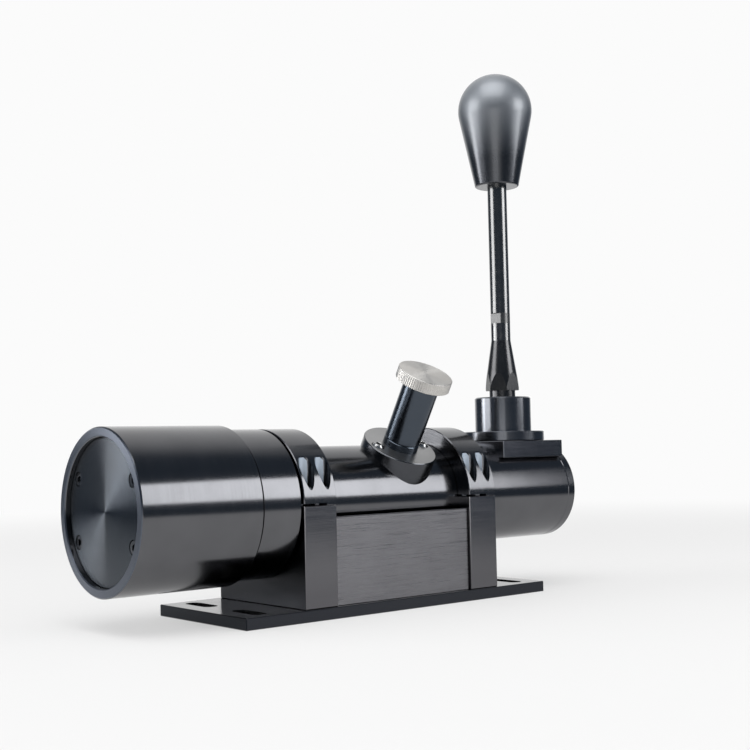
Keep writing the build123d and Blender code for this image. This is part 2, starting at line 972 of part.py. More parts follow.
def shaft_set_screws():
    """Headless screws that lock the head and the drum to the shaft."""
    head = set_screw(
        set_screw_radius,
        set_screw_key,
        set_screw_key_depth,
        shaft_radius,
        head_radius - set_screw_sink,
    )
    drum = set_screw(
        set_screw_radius,
        set_screw_key,
        set_screw_key_depth,
        shaft_radius,
        drum_hub_radius - set_screw_sink,
    )
    return group([
        Pos(lever_x, 0, axis_height) * Rot(180, 0, 0) * head,
        Pos(drum_x, 0, axis_height) * drum,
    ])


def gate_track():
    """Three shift channels joined by the neutral channel, cut towards -Z."""
    half = gate_pin_radius + gate_fit
    floor = drum_radius - gate_depth
    outer = drum_radius + overrun
    channel = block((-shaft_travel, -half, -outer), (shaft_travel, half, -floor))
    for end in (-1, 1):
        channel += Pos(end * shaft_travel, 0, 0) * post(half, -outer, -floor)
    track = Rot(-turn_angle, 0, 0) * channel
    track += channel
    track += Rot(turn_angle, 0, 0) * channel
    section = make_face(Polyline(
        (-half, 0, -outer),
        (half, 0, -outer),
        (half, 0, -floor),
        (-half, 0, -floor),
        close=True,
    ))
    neutral = revolve(section, Axis.X, 2 * turn_angle)
    return track + Rot(-turn_angle, 0, 0) * neutral


def gate_drum():
    """Drum on the shaft with the shift pattern milled in its rim."""
    half = drum_length / 2
    recess = half - drum_recess
    rim = drum_radius - drum_rim
    drum = turned([
        (shaft_radius, -half),
        (drum_hub_radius, -half),
        (drum_hub_radius, -recess),
        (rim, -recess),
        (rim, -half),
        (drum_radius, -half),
        (drum_radius, half),
        (rim, half),
        (rim, recess),
        (drum_hub_radius, recess),
        (drum_hub_radius, half),
        (shaft_radius, half),
    ])
    drum = Rot(0, 90, 0) * drum
    drum -= gate_track()
    drum -= post(set_screw_radius + thread_gap, 0, drum_radius + overrun)
    return Pos(drum_x, 0, axis_height) * drum


def gate_pin():
    """Fixed pin through the housing's underside, its nose in the drum's track."""
    outer = housing_radius - gate_pin_sink
    inner = housing_bore
    nose = drum_radius - gate_depth + gate_pin_gap
    pin = post(gate_pin_body_radius, inner, outer) + post(gate_pin_radius, nose, outer)
    pin -= hexagon(set_screw_key, outer - set_screw_key_depth, outer + overrun)
    return Pos(drum_x, 0, axis_height) * Rot(180, 0, 0) * pin


# Centring hub
def centring_hub():
    """Hub that turns with the shaft, with a lug for the two centring springs."""
    front = spigot_front + hub_side_gap
    rear = web_front - hub_side_gap
    hub = tube_solid(front, rear, hub_radius)
    hub += block(
        (front, -hub_lug_width / 2, axis_height),
        (rear, hub_lug_width / 2, axis_height + hub_lug_reach),
    )
    bore = tube_solid(front - overrun, rear + overrun, shaft_radius + running_fit)
    across = shaft_flat + hub_flat_fit
    bore &= block(
        (front - overrun, -across, axis_height - hub_radius),
        (rear + overrun, across, axis_height + hub_radius),
    )
    return hub - bore


def centring_spring(side):
    """Coil between the hub's lug and its seat on one side."""
    middle = (spigot_front + web_front) / 2
    start = hub_lug_width / 2 + spring_gap
    coil = post(centring_spring_radius, start, start + centring_spring_length)
    coil -= post(
        centring_spring_radius - centring_spring_wire,
        start - overrun,
        start + centring_spring_length + overrun,
    )
    return Pos(middle, 0, axis_height + centring_spring_arm) * Rot(-side * 90, 0, 0) * coil


# Sensing and electronics
def sensor_board():
    """Round board behind the cover that reads the shaft's magnet."""
    face = cover_back + board_thickness
    board = tube_solid(cover_back, face, sensor_board_radius)
    middle = axis_height
    board += block(
        (face, -chip_size / 2, middle - chip_size / 2),
        (face + chip_height, chip_size / 2, middle + chip_size / 2),
    )
    return board


def controller_board():
    """Board in the bay under the tube."""
    foot = base_thickness + controller_rise
    top = foot + board_thickness
    board = block(
        (-controller_length / 2, controller_low_y, foot),
        (controller_length / 2, controller_high_y, top),
    )
    board += block(
        (controller_chip_x, -controller_chip / 2, top),
        (controller_chip_x + controller_chip, controller_chip / 2, top + chip_height),
    )
    return board


def board_standoffs():
    """Four spacers between the base plate and the controller board."""
    spacer = post(standoff_radius, base_thickness, base_thickness + controller_rise)
    return group(Pos(along, across, 0) * spacer for along, across in standoff_places())


def usb_socket():
    """Data socket on the board's edge, its mouth in the far side plate."""
    face = side_plate_face + socket_proud
    shell = block(
        (-socket_width / 2, face - socket_depth, socket_foot),
        (socket_width / 2, face, socket_foot + socket_height),
    )
    shell -= block(
        (-socket_width / 2 + socket_wall, face - socket_mouth, socket_foot + socket_wall),
        (
            socket_width / 2 - socket_wall,
            face + overrun,
            socket_foot + socket_height - socket_wall,
        ),
    )
    middle = socket_foot + socket_height / 2
    shell += block(
        (-socket_tongue_width / 2, face - socket_mouth, middle - socket_tongue_height / 2),
        (socket_tongue_width / 2, face - socket_wall, middle + socket_tongue_height / 2),
    )
    return shell


# Lever saddle and pivot housing
def lever_saddle():
    """Milled block that carries the pivot housing square on the tube."""
    body = block(
        (lever_x - saddle_length / 2, -saddle_width / 2, saddle_foot),
        (lever_x + saddle_length / 2, saddle_width / 2, saddle_top),
    )
    body = chamfer(body.edges(), saddle_edge)
    body -= tube_solid(lever_x - saddle_length, lever_x + saddle_length)
    body -= on_lever(post(stem_hole_radius, saddle_foot - overrun, saddle_top + overrun))
    hole = post(m4_shank + hole_gap, saddle_foot - overrun, saddle_top + overrun)
    for along, across in pivot_screw_places():
        body -= Pos(lever_x + along, across, 0) * hole
    return body


def pin_slot():
    """Upright slot across the pivot for the ends of the cross pin."""
    half = cross_pin_radius + cross_slot_fit
    reach = cross_pin_reach + cross_slot_fit
    return block((-half, -reach, -cross_slot_rise), (half, reach, cross_slot_rise))


def pivot_housing():
    """Flanged cup that holds the ball's two seats."""
    cup = turned([
        (stem_hole_radius, saddle_top),
        (flange_radius - flange_edge, saddle_top),
        (flange_radius, saddle_top + flange_edge),
        (flange_radius, flange_top - flange_edge),
        (flange_radius - flange_edge, flange_top),
        (cup_radius, flange_top),
        (cup_radius, cup_top - cup_edge),
        (cup_radius - cup_edge, cup_top),
        (cup_bore, cup_top),
        (cup_bore, seat_foot),
        (stem_hole_radius, seat_foot),
    ])
    pocket = post(pivot_pocket_radius, flange_top - pivot_pocket_depth, flange_top + overrun)
    hole = post(m4_shank + hole_gap, saddle_top - overrun, flange_top)
    for along, across in pivot_screw_places():
        cup -= Pos(along, across, 0) * (pocket + hole)
    return on_lever(cup) - on_pivot(pin_slot())


def pivot_screws():
    """Four screws through the flange and the saddle into the tube's wall."""
    screw = cap_screw(m4_shank, m4_head, m4_head_height, m4_key, pivot_screw_length)
    return group(
        Pos(lever_x + along, across, flange_top - pivot_pocket_depth) * screw
        for along, across in pivot_screw_places()
    )


def ball_seat(low, high):
    """Bearing ring with a spherical face, between two heights from the pivot."""
    ring = post(cup_bore - seat_fit, low, high) - Sphere(ball_radius + ball_fit)
    return on_pivot(ring - pin_slot())


def lower_ball_seat():
    """Seat under the ball, on the cup's shoulder."""
    return ball_seat(seat_foot - pivot_height, -seat_split / 2)


def upper_ball_seat():
    """Seat over the ball, held down by the seat ring."""
    return ball_seat(seat_split / 2, seat_ring_foot - pivot_height)


def seat_ring():
    """Threaded ring that closes the cup over the seats."""
    return on_lever(washer(
        cup_bore - seat_fit, seat_ring_bore, seat_ring_foot, seat_ring_top, saddle_edge
    ))


# Pivot ball and cross pin
def cross_pin():
    """Pin through the ball whose ends ride in the cup's upright slots."""
    pin = disc(cross_pin_radius, -cross_pin_reach, cross_pin_reach, cross_pin_edge)
    return on_pivot(Rot(90, 0, 0) * pin)


def cross_hole():
    """Hole for the cross pin through what turns on it."""
    return on_pivot(
        Rot(90, 0, 0) * post(cross_pin_radius + cross_pin_fit, -cup_radius, cup_radius)
    )


def pivot_ball():
    """Ball bored for the lever's journal and drilled for the cross pin."""
    ball = on_pivot(Sphere(ball_radius) - post(journal_radius, -cup_radius, cup_radius))
    return ball - cross_hole()


# Lever
def lever_stem():
    """Journal through the ball, tapered to the finger with the lower ball."""
    journal_foot = pivot_height - ball_radius
    stem = turned([
        (0, finger_height),
        (stem_radius, finger_height),
        (stem_radius, journal_foot - stem_taper),
        (journal_radius, journal_foot),
        (journal_radius, neck_foot + hub_thread_depth),
        (0, neck_foot + hub_thread_depth),
    ])
    stem += Pos(0, 0, finger_height) * Sphere(finger_ball_radius)
    return on_lever(stem) - cross_hole()


def lever_hub():
    """Tapered hub with six spanner flats at its foot."""
    cone = turned([
        (journal_radius, neck_foot),
        (lever_neck_radius, neck_foot),
        (lever_neck_radius, cone_foot),
        (cone_radius - cone_foot_edge, cone_foot),
        (cone_radius, cone_foot + cone_foot_edge),
        (rod_radius, cone_top),
        (rod_spigot_radius, cone_top),
        (rod_spigot_radius, cone_top - rod_spigot_length),
        (journal_radius, neck_foot + hub_thread_depth),
    ])
    for index in range(cone_flats):
        flat = block(
            (cone_flat_reach, -cone_radius, cone_foot - overrun),
            (cone_radius + overrun, cone_radius, cone_top),
        )
        cone -= Rot(0, 0, 360 * (index + 1 / 2) / cone_flats) * flat
    return on_lever(cone)


def lever_rod():
    """Round rod with a pair of spanner flats near its foot."""
    rod = turned([
        (0, cone_top - rod_spigot_length),
        (rod_spigot_radius, cone_top - rod_spigot_length),
        (rod_spigot_radius, cone_top),
        (rod_radius, cone_top),
        (rod_radius, rod_top - rod_edge),
        (rod_radius - rod_edge, rod_top),
        (0, rod_top),
    ])
    low = cone_top + spanner_rise
    for side in (-1, 1):
        edges = sorted((side * spanner_flat, side * (rod_radius + overrun)))
        rod -= block(
            (edges[0], -rod_radius - overrun, low),
            (edges[1], rod_radius + overrun, low + spanner_length),
        )
    return on_lever(rod)


def shift_knob():
    """Pear-shaped knob: a ball that runs tangent into a straight taper."""
    centre = knob_top - knob_radius
    drop = centre - knob_foot
    reach = hypot(knob_foot_radius, drop)
    turn = atan2(-drop, knob_foot_radius) + acos(knob_radius / reach)
    tangent = (knob_radius * cos(turn), 0, centre + knob_radius * sin(turn))
    middle = (turn + pi / 2) / 2
    outline = Polyline((0, 0, knob_top), (0, 0, knob_foot), (knob_foot_radius, 0, knob_foot), tangent)
    outline += ThreePointArc(
        tangent,
        (knob_radius * cos(middle), 0, centre + knob_radius * sin(middle)),
        (0, 0, knob_top),
    )
    knob = revolve(make_face(outline), Axis.Z)
    knob = fillet(knob.edges().group_by(Axis.Z)[0], knob_foot_edge)
    knob -= post(rod_radius + knob_fit, knob_foot - overrun, rod_top)
    return on_lever(knob)


# Drag adjuster
def drag_saddle():
    """Round saddle cut to the tube, flat on top for the tower."""
    body = disc(drag_saddle_radius, 0, drag_saddle_rise, drag_saddle_edge)
    body -= post(tower_spigot_radius, -overrun, drag_saddle_rise + overrun)
    pocket = post(m4_head + hole_gap, drag_saddle_rise - drag_screw_sink, drag_saddle_rise + overrun)
    hole = post(m4_shank + hole_gap, 0, drag_saddle_rise)
    for side in (-1, 1):
        body -= Pos(side * drag_screw_reach, 0, 0) * (pocket + hole)
    return on_tower(body) - tube_solid(ring_end, tube_reach)


def drag_saddle_screws():
    """Two screws that hold the saddle to the tube."""
    screw = cap_screw(m4_shank, m4_head, m4_button_height, m4_key, drag_screw_length)
    seat = drag_saddle_rise - drag_screw_sink
    return group(
        on_tower(Pos(side * drag_screw_reach, 0, seat) * screw) for side in (-1, 1)
    )


def drag_tower():
    """Turned barrel for the drag pad, its spring and the adjuster's nut."""
    groove = drag_saddle_rise + tower_groove_rise
    barrel = turned([
        (tower_bore, tower_spigot_end),
        (tower_spigot_radius, tower_spigot_end),
        (tower_spigot_radius, drag_saddle_rise),
        (tower_radius, drag_saddle_rise),
        (tower_radius, groove - tower_groove),
        (tower_radius - tower_groove, groove),
        (tower_radius, groove + tower_groove),
        (tower_radius, tower_top - tower_edge),
        (tower_radius - tower_edge, tower_top),
        (adjuster_radius + adjuster_roof_fit, tower_top),
        (adjuster_radius + adjuster_roof_fit, tower_roof_foot),
        (tower_bore, tower_roof_foot),
    ])
    barrel -= block(
        (0, -keyway_width / 2, keyway_foot),
        (tower_bore + keyway_depth, keyway_width / 2, tower_roof_foot),
    )
    return on_tower(barrel)


def drag_pad():
    """Bearing pad with a hollow face that rubs on the selector shaft."""
    pad = on_tower(post(drag_pad_radius, 0, drag_pad_top))
    return pad - tube_solid(-tube_reach, tube_reach, shaft_radius + drag_pad_gap)


def drag_spring():
    """Compression spring between the nut and the pad."""
    low = drag_pad_top
    coil = post(drag_spring_radius, low, nut_foot)
    coil -= post(drag_spring_radius - drag_spring_wire, low - overrun, nut_foot + overrun)
    return on_tower(coil)


def adjuster_nut():
    """Keyed nut that travels down the tower as the cap turns."""
    nut = post(nut_radius, nut_foot, nut_top)
    nut += block(
        (0, -keyway_width / 2 + nut_key_fit, nut_foot),
        (nut_key_reach, keyway_width / 2 - nut_key_fit, nut_top),
    )
    nut -= post(adjuster_radius + adjuster_fit, nut_foot - overrun, nut_top + overrun)
    return on_tower(nut)


def adjuster_screw():
    """Threaded stem that turns with the cap and is held by the clip."""
    groove_foot = clip_top - clip_thickness
    top = cap_foot_rise + cap_bore_depth
    stem = turned([
        (0, adjuster_foot),
        (adjuster_radius - adjuster_groove, adjuster_foot),
        (adjuster_radius, adjuster_foot + adjuster_groove),
        (adjuster_radius, groove_foot),
        (adjuster_radius - adjuster_groove, groove_foot),
        (adjuster_radius - adjuster_groove, clip_top),
        (adjuster_radius, clip_top),
        (adjuster_radius, top),
        (0, top),
    ])
    return on_tower(stem)


def adjuster_clip():
    """Snap ring in the stem's groove, under the tower's roof."""
    low = clip_top - clip_thickness
    clip = post(clip_radius, low, clip_top)
    clip -= post(adjuster_radius - adjuster_groove, low - overrun, clip_top + overrun)
    return on_tower(clip)


def cap_washer():
    """Thrust washer between the tower and the cap."""
    ring = post(washer_radius, tower_top, tower_top + washer_thickness)
    ring -= post(adjuster_radius + hole_gap, tower_top - overrun, cap_foot_rise + overrun)
    return on_tower(ring)


def adjuster_cap():
    """Round finger cap that turns the stem."""
    cap = disc(cap_radius, cap_foot_rise, cap_foot_rise + cap_height, cap_edge)
    cap -= post(adjuster_radius, cap_foot_rise - overrun, cap_foot_rise + cap_bore_depth)
    return on_tower(cap)


# Every node with the solid that goes into its file
nodes = {
    "base_plate": base_plate(),
    "front_pedestal": pedestal(-pedestal_pitch / 2),
    "rear_pedestal": pedestal(pedestal_pitch / 2),
    "front_clamp_cap": clamp_cap(-pedestal_pitch / 2),
    "rear_clamp_cap": clamp_cap(pedestal_pitch / 2),
    "clamp_screws": clamp_screws(),
    "pedestal_screws": pedestal_screws(),
    "near_side_plate": side_plate(-1),
    "far_side_plate": far_side_plate(),
    "side_plate_screws": side_plate_screws(),
    "main_tube": main_tube(),
    "front_housing": front_housing(),
    "front_cover": front_cover(),
    "front_cover_screws": front_cover_screws(),
    "adapter_ring": adapter_ring(),
    "hub_retainer": hub_retainer(),
    "retainer_screws": retainer_screws_node(),
    "front_bush": front_bush(),
    "rear_bulkhead": rear_bulkhead(),
    "rear_bush": rear_bush(),
    "rear_end_cap": rear_end_cap(),
    "selector_shaft": selector_shaft(),
    "selector_head": selector_head(),
    "shaft_set_screws": shaft_set_screws(),
    "gate_drum": gate_drum(),
    "gate_pin": gate_pin(),
    "position_magnet": position_magnet(),
    "centring_hub": centring_hub(),
    "near_centring_spring": centring_spring(-1),
    "far_centring_spring": centring_spring(1),
    "sensor_board": sensor_board(),
    "controller_board": controller_board(),
    "board_standoffs": board_standoffs(),
    "usb_socket": usb_socket(),
    "lever_saddle": lever_saddle(),
    "pivot_housing": pivot_housing(),
    "pivot_screws": pivot_screws(),
    "lower_ball_seat": lower_ball_seat(),
    "upper_ball_seat": upper_ball_seat(),
    "seat_ring": seat_ring(),
    "cross_pin": cross_pin(),
    "pivot_ball": pivot_ball(),
    "lever_stem": lever_stem(),
    "lever_hub": lever_hub(),
    "lever_rod": lever_rod(),
    "shift_knob": shift_knob(),
    "drag_saddle": drag_saddle(),
    "drag_saddle_screws": drag_saddle_screws(),
    "drag_tower": drag_tower(),
    "drag_pad": drag_pad(),
    "drag_spring": drag_spring(),
    "adjuster_nut": adjuster_nut(),
    "adjuster_screw": adjuster_screw(),
    "adjuster_clip": adjuster_clip(),
    "cap_washer": cap_washer(),
    "adjuster_cap": adjuster_cap(),
}

os.makedirs("parts", exist_ok=True)
for node, shape in nodes.items():
    export_step(shape, f"parts/{node}.step")
    print(node, round(shape.volume, 1))
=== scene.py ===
"""Studio scene of a sim racing gear shifter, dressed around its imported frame."""
import json
import logging
import math
from dataclasses import dataclass, field, replace
from enum import Enum
from typing import Callable, Iterable, Sequence

import bmesh
import bpy
from mathutils import Matrix, Vector


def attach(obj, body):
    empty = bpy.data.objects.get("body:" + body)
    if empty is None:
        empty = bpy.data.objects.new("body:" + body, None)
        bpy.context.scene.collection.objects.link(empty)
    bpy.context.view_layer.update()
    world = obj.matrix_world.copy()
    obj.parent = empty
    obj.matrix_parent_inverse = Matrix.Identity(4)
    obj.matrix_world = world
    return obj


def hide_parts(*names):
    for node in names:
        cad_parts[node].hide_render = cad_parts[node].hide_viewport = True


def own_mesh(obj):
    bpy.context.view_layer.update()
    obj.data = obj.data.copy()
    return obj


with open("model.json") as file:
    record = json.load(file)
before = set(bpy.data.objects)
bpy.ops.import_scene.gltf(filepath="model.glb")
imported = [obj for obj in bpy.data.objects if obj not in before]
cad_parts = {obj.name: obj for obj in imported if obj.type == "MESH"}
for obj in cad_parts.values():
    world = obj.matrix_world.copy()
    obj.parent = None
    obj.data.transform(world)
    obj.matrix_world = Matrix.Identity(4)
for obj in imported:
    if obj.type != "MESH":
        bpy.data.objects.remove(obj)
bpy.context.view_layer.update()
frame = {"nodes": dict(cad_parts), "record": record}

log = logging.getLogger("shifter")
logging.basicConfig(level=logging.INFO, format="%(message)s")

MM = 0.001
Colour = tuple[float, float, float]
Place = tuple[float, float, float]
Outline = Callable[[float], float]
Socket = bpy.types.NodeSocket
Skin = bmesh.types.BMesh

# A noise value mostly lies between these two
NOISE_LOW = 0.3
NOISE_HIGH = 0.7
OCTAVES = 3.0
QUARTER_TURN = 0.25

# A half size past every piece, in metres
FAR = 1.0

# The axes that turned pieces share, in metres and degrees
AXIS_HEIGHT = 58.3 * MM
LEVER_X = 116.4 * MM
TOWER_X = 16.1 * MM
TOWER_TILT = 30.0
ALONG_TUBE = Matrix.Translation((0, 0, AXIS_HEIGHT)) @ Matrix.Rotation(math.radians(90), 4, "Y")
ALONG_TOWER = Matrix.Translation((TOWER_X, 0, AXIS_HEIGHT)) @ Matrix.Rotation(math.radians(TOWER_TILT), 4, "X")
HALF_TURN = Matrix.Rotation(math.pi, 4, "X")


class Grain(Enum):
    """How a surface was worked, which sets the lines that it carries."""

    TURNED = "turned"
    BRUSHED = "brushed"
    BLASTED = "blasted"
    POLISHED = "polished"


class Body(Enum):
    """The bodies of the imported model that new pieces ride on."""

    FRAME = "frame"
    CAP = "adjuster_cap"


# Shading
def result(made: bpy.types.Node) -> Socket:
    """The output that a node's settings leave in use."""
    return next(socket for socket in made.outputs if socket.enabled)


class Tree:
    """A shader node tree that is built step by step."""

    def __init__(self, tree: bpy.types.NodeTree) -> None:
        """Start from the given tree, emptied."""
        self.tree = tree
        self.tree.nodes.clear()

    def node(self, kind: str, **settings: object) -> bpy.types.Node:
        """Add one node.

        Args:
            kind: The node's type name.
            **settings: Properties to set on it.

        Returns:
            The new node.
        """
        made = self.tree.nodes.new(kind)
        for key, value in settings.items():
            setattr(made, key, value)
        return made

    def link(self, source: Socket, target: Socket) -> None:
        """Join an output to an input."""
        self.tree.links.new(source, target)

    def joined(self, kind: str, first: Socket, second: Socket, **settings: object) -> Socket:
        """Two sockets through one node with two inputs.

        Args:
            kind: The node's type name.
            first: The first input.
            second: The second input.
            **settings: Properties to set on the node.

        Returns:
            The node's output.
        """
        made = self.node(kind, **settings)
        self.link(first, made.inputs[0])
        self.link(second, made.inputs[1])
        return made.outputs[0]

    def greatest(self, first: Socket, second: Socket) -> Socket:
        """The greater of two values."""
        return self.joined("ShaderNodeMath", first, second, operation="MAXIMUM")

    def outside(self, place: Socket, half: Place) -> Socket:
        """How far a point lies outside a box about the origin.

        Args:
            place: The point.
            half: The box's half sizes.

        Returns:
            The greatest distance along an axis, below zero inside the box.
        """
        away = self.node("ShaderNodeSeparateXYZ")
        self.link(self.vector("SUBTRACT", self.vector("ABSOLUTE", place), half), away.inputs["Vector"])
        return self.greatest(self.greatest(away.outputs["X"], away.outputs["Y"]), away.outputs["Z"])

    def ramp(self, value: Socket, start: float, end: float, smooth: bool = True,
             low: float = 0.0, high: float = 1.0) -> Socket:
        """A value that turns from low to high between two points.

        Args:
            value: The value read.
            start: Where the turn starts.
            end: Where it ends.
            smooth: Ease in and out.
            low: Result before the start.
            high: Result after the end.

        Returns:
            The result.
        """
        made = self.node("ShaderNodeMapRange", interpolation_type="SMOOTHSTEP" if smooth else "LINEAR")
        self.link(value, made.inputs["Value"])
        for name, number in (("From Min", start), ("From Max", end), ("To Min", low), ("To Max", high)):
            made.inputs[name].default_value = number
        return made.outputs["Result"]

    def along(self, vector: Socket, direction: Place) -> Socket:
        """How far a vector reaches along a direction."""
        return self.vector("DOT_PRODUCT", vector, direction)

    def light(self, kind: str, colour: Colour, strength: float = 1.0) -> Socket:
        """A plain emission, background or diffuse shader.

        Args:
            kind: The node's type name.
            colour: Its colour.
            strength: Its strength, where it has one.

        Returns:
            The shader.
        """
        made = self.node(kind)
        made.inputs["Color"].default_value = (*colour, 1)
        if "Strength" in made.inputs:
            made.inputs["Strength"].default_value = strength
        return made.outputs[0]

    def mix(self, share: Socket, first: Socket, second: Socket) -> Socket:
        """One shader turned into another by a share.

        Args:
            share: Zero for the first, one for the second.
            first: The first shader.
            second: The second shader.

        Returns:
            The mixed shader.
        """
        made = self.node("ShaderNodeMixShader")
        for number, socket in enumerate((share, first, second)):
            self.link(socket, made.inputs[number])
        return made.outputs[0]

    def ray(self, name: str) -> Socket:
        """One kind of ray from the light path."""
        return self.node("ShaderNodeLightPath").outputs[name]

    def mirrored(self) -> Socket:
        """One for rays from a mirror or through glass."""
        return self.greatest(self.ray("Is Glossy Ray"), self.ray("Is Transmission Ray"))

    def vector(self, operation: str, *parts: Place | Socket, scale: float = 1.0) -> Socket:
        """One vector operation.

        Args:
            operation: The vector math node's operation.
            *parts: Its inputs, each a socket or a fixed vector.
            scale: Factor used by SCALE.

        Returns:
            The result.
        """
        made = self.node("ShaderNodeVectorMath", operation=operation)
        for target, part in zip(made.inputs, parts):
            if isinstance(part, Socket):
                self.link(part, target)
            else:
                target.default_value = part
        if operation == "SCALE":
            made.inputs["Scale"].default_value = scale
        return result(made)


class Shading(Tree):
    """The node tree of one surface finish."""

    def __init__(self, name: str) -> None:
        """Start a material with its surface and output in place.

        Args:
            name: The material's name.
        """
        self.material = bpy.data.materials.new(name)
        self.material.use_nodes = True
        super().__init__(self.material.node_tree)
        self.surface = self.node("ShaderNodeBsdfPrincipled")
        output = self.node("ShaderNodeOutputMaterial")
        self.link(self.surface.outputs["BSDF"], output.inputs["Surface"])
        self.place = self.node("ShaderNodeTexCoord").outputs["Object"]

    def mapped(self, kind: str, location: Place = (0, 0, 0), turn: Place = (0, 0, 0),
               scale: Place = (1, 1, 1)) -> Socket:
        """Object coordinates moved, turned and scaled.

        Args:
            kind: POINT or TEXTURE, as the mapping node names them.
            location: Offset in metres.
            turn: Euler angles in degrees.
            scale: Factor along each axis.

        Returns:
            The mapped vector.
        """
        mapping = self.node("ShaderNodeMapping", vector_type=kind)
        self.link(self.place, mapping.inputs["Vector"])
        mapping.inputs["Location"].default_value = location
        mapping.inputs["Rotation"].default_value = [math.radians(angle) for angle in turn]
        mapping.inputs["Scale"].default_value = scale
        return mapping.outputs["Vector"]

    def noise(self, vector: Socket, scale: float, detail: float = 2.0) -> Socket:
        """A noise value about a half.

        Args:
            vector: Where the pattern is read.
            scale: Spots per metre of that vector.
            detail: Octaves.

        Returns:
            The noise value.
        """
        made = self.node("ShaderNodeTexNoise")
        made.inputs["Scale"].default_value = scale
        made.inputs["Detail"].default_value = detail
        self.link(vector, made.inputs["Vector"])
        return made.outputs["Fac"]

    def spread(self, value: Socket, low: float, high: float) -> Socket:
        """Stretch a noise value over a range."""
        return self.ramp(value, NOISE_LOW, NOISE_HIGH, smooth=False, low=low, high=high)

    def scattered(self, value: Socket, middle: float, share: float) -> Socket:
        """Stretch a noise value about a middle, by a share of it each way."""
        return self.spread(value, middle * (1 - share), middle * (1 + share))

    def overlay(self, mask: Socket, under: Socket, over: Colour | float) -> Socket:
        """Lay a colour or value over another where a mask is one.

        Args:
            mask: The mask.
            under: What lies under it.
            over: The colour or value laid over.

        Returns:
            The result.
        """
        tinted = isinstance(over, tuple)
        made = self.node("ShaderNodeMix", data_type="RGBA" if tinted else "FLOAT")
        share, first, second = [socket for socket in made.inputs if socket.enabled]
        self.link(mask, share)
        self.link(under, first)
        second.default_value = (*over, 1) if tinted else over
        return result(made)

    def tones(self, value: Socket, colour: Colour, share: float) -> Socket:
        """A colour made darker and lighter by a noise value.

        Args:
            value: The noise value.
            colour: The middle colour.
            share: How much darker and lighter it gets.

        Returns:
            The colour.
        """
        ramp = self.node("ShaderNodeValToRGB")
        for stop, value_at, factor in zip(ramp.color_ramp.elements, (NOISE_LOW, NOISE_HIGH), (1 - share, 1 + share)):
            stop.position, stop.color = value_at, (*shade(colour, factor), 1)
        self.link(value, ramp.inputs["Fac"])
        return ramp.outputs["Color"]

    def bump(self, height: Socket, strength: float, depth: float) -> None:
        """Raise the surface by a height.

        Args:
            height: The height value.
            strength: Share of the effect.
            depth: Metres for a height of one.
        """
        made = self.node("ShaderNodeBump")
        made.inputs["Strength"].default_value = strength
        made.inputs["Distance"].default_value = depth
        self.link(height, made.inputs["Height"])
        self.link(made.outputs["Normal"], self.surface.inputs["Normal"])

    def tangent(self, direction: Socket) -> None:
        """Lay the grooves' direction, given on the object, across the highlight.

        Args:
            direction: The direction of the grooves.
        """
        turned = self.node("ShaderNodeVectorTransform", vector_type="VECTOR",
                           convert_from="OBJECT", convert_to="WORLD")
        self.link(direction, turned.inputs["Vector"])
        self.link(turned.outputs["Vector"], self.surface.inputs["Tangent"])
        self.surface.inputs["Anisotropic Rotation"].default_value = QUARTER_TURN


def shade(colour: Colour, factor: float) -> Colour:
    """A colour made lighter or darker by a factor."""
    return tuple(min(1.0, part * factor) for part in colour)


@dataclass(frozen=True)
class Axis:
    """A line that turned grooves run round."""

    centre: Place
    direction: Place
    turn: Place


UPRIGHT = Axis((0, 0, 0), (0, 0, 1), (0, 0, 0))
TUBE_AXIS = Axis((0, 0, AXIS_HEIGHT), (1, 0, 0), (0, 90, 0))
LEVER_AXIS = Axis((LEVER_X, 0, 0), (0, 0, 1), (0, 0, 0))
TOWER_AXIS = Axis(
    (TOWER_X, 0, AXIS_HEIGHT),
    (0, -math.sin(math.radians(TOWER_TILT)), math.cos(math.radians(TOWER_TILT))),
    (TOWER_TILT, 0, 0),
)


@dataclass(frozen=True)
class Zone:
    """A second tone outside, or inside, a box in an axis frame."""

    colour: Colour
    roughness: float
    half: Place
    axis: Axis = UPRIGHT
    inside: bool = False
    blur: float = 0.06 * MM

    def mask(self, work: Shading) -> Socket:
        """Where the second tone shows.

        Args:
            work: The material in hand.

        Returns:
            One in the zone, else zero.
        """
        local = work.mapped("TEXTURE", self.axis.centre, self.axis.turn)
        low, high = (1.0, 0.0) if self.inside else (0.0, 1.0)
        away = work.outside(local, self.half)
        return work.ramp(away, 0.0, self.blur, smooth=False, low=low, high=high)


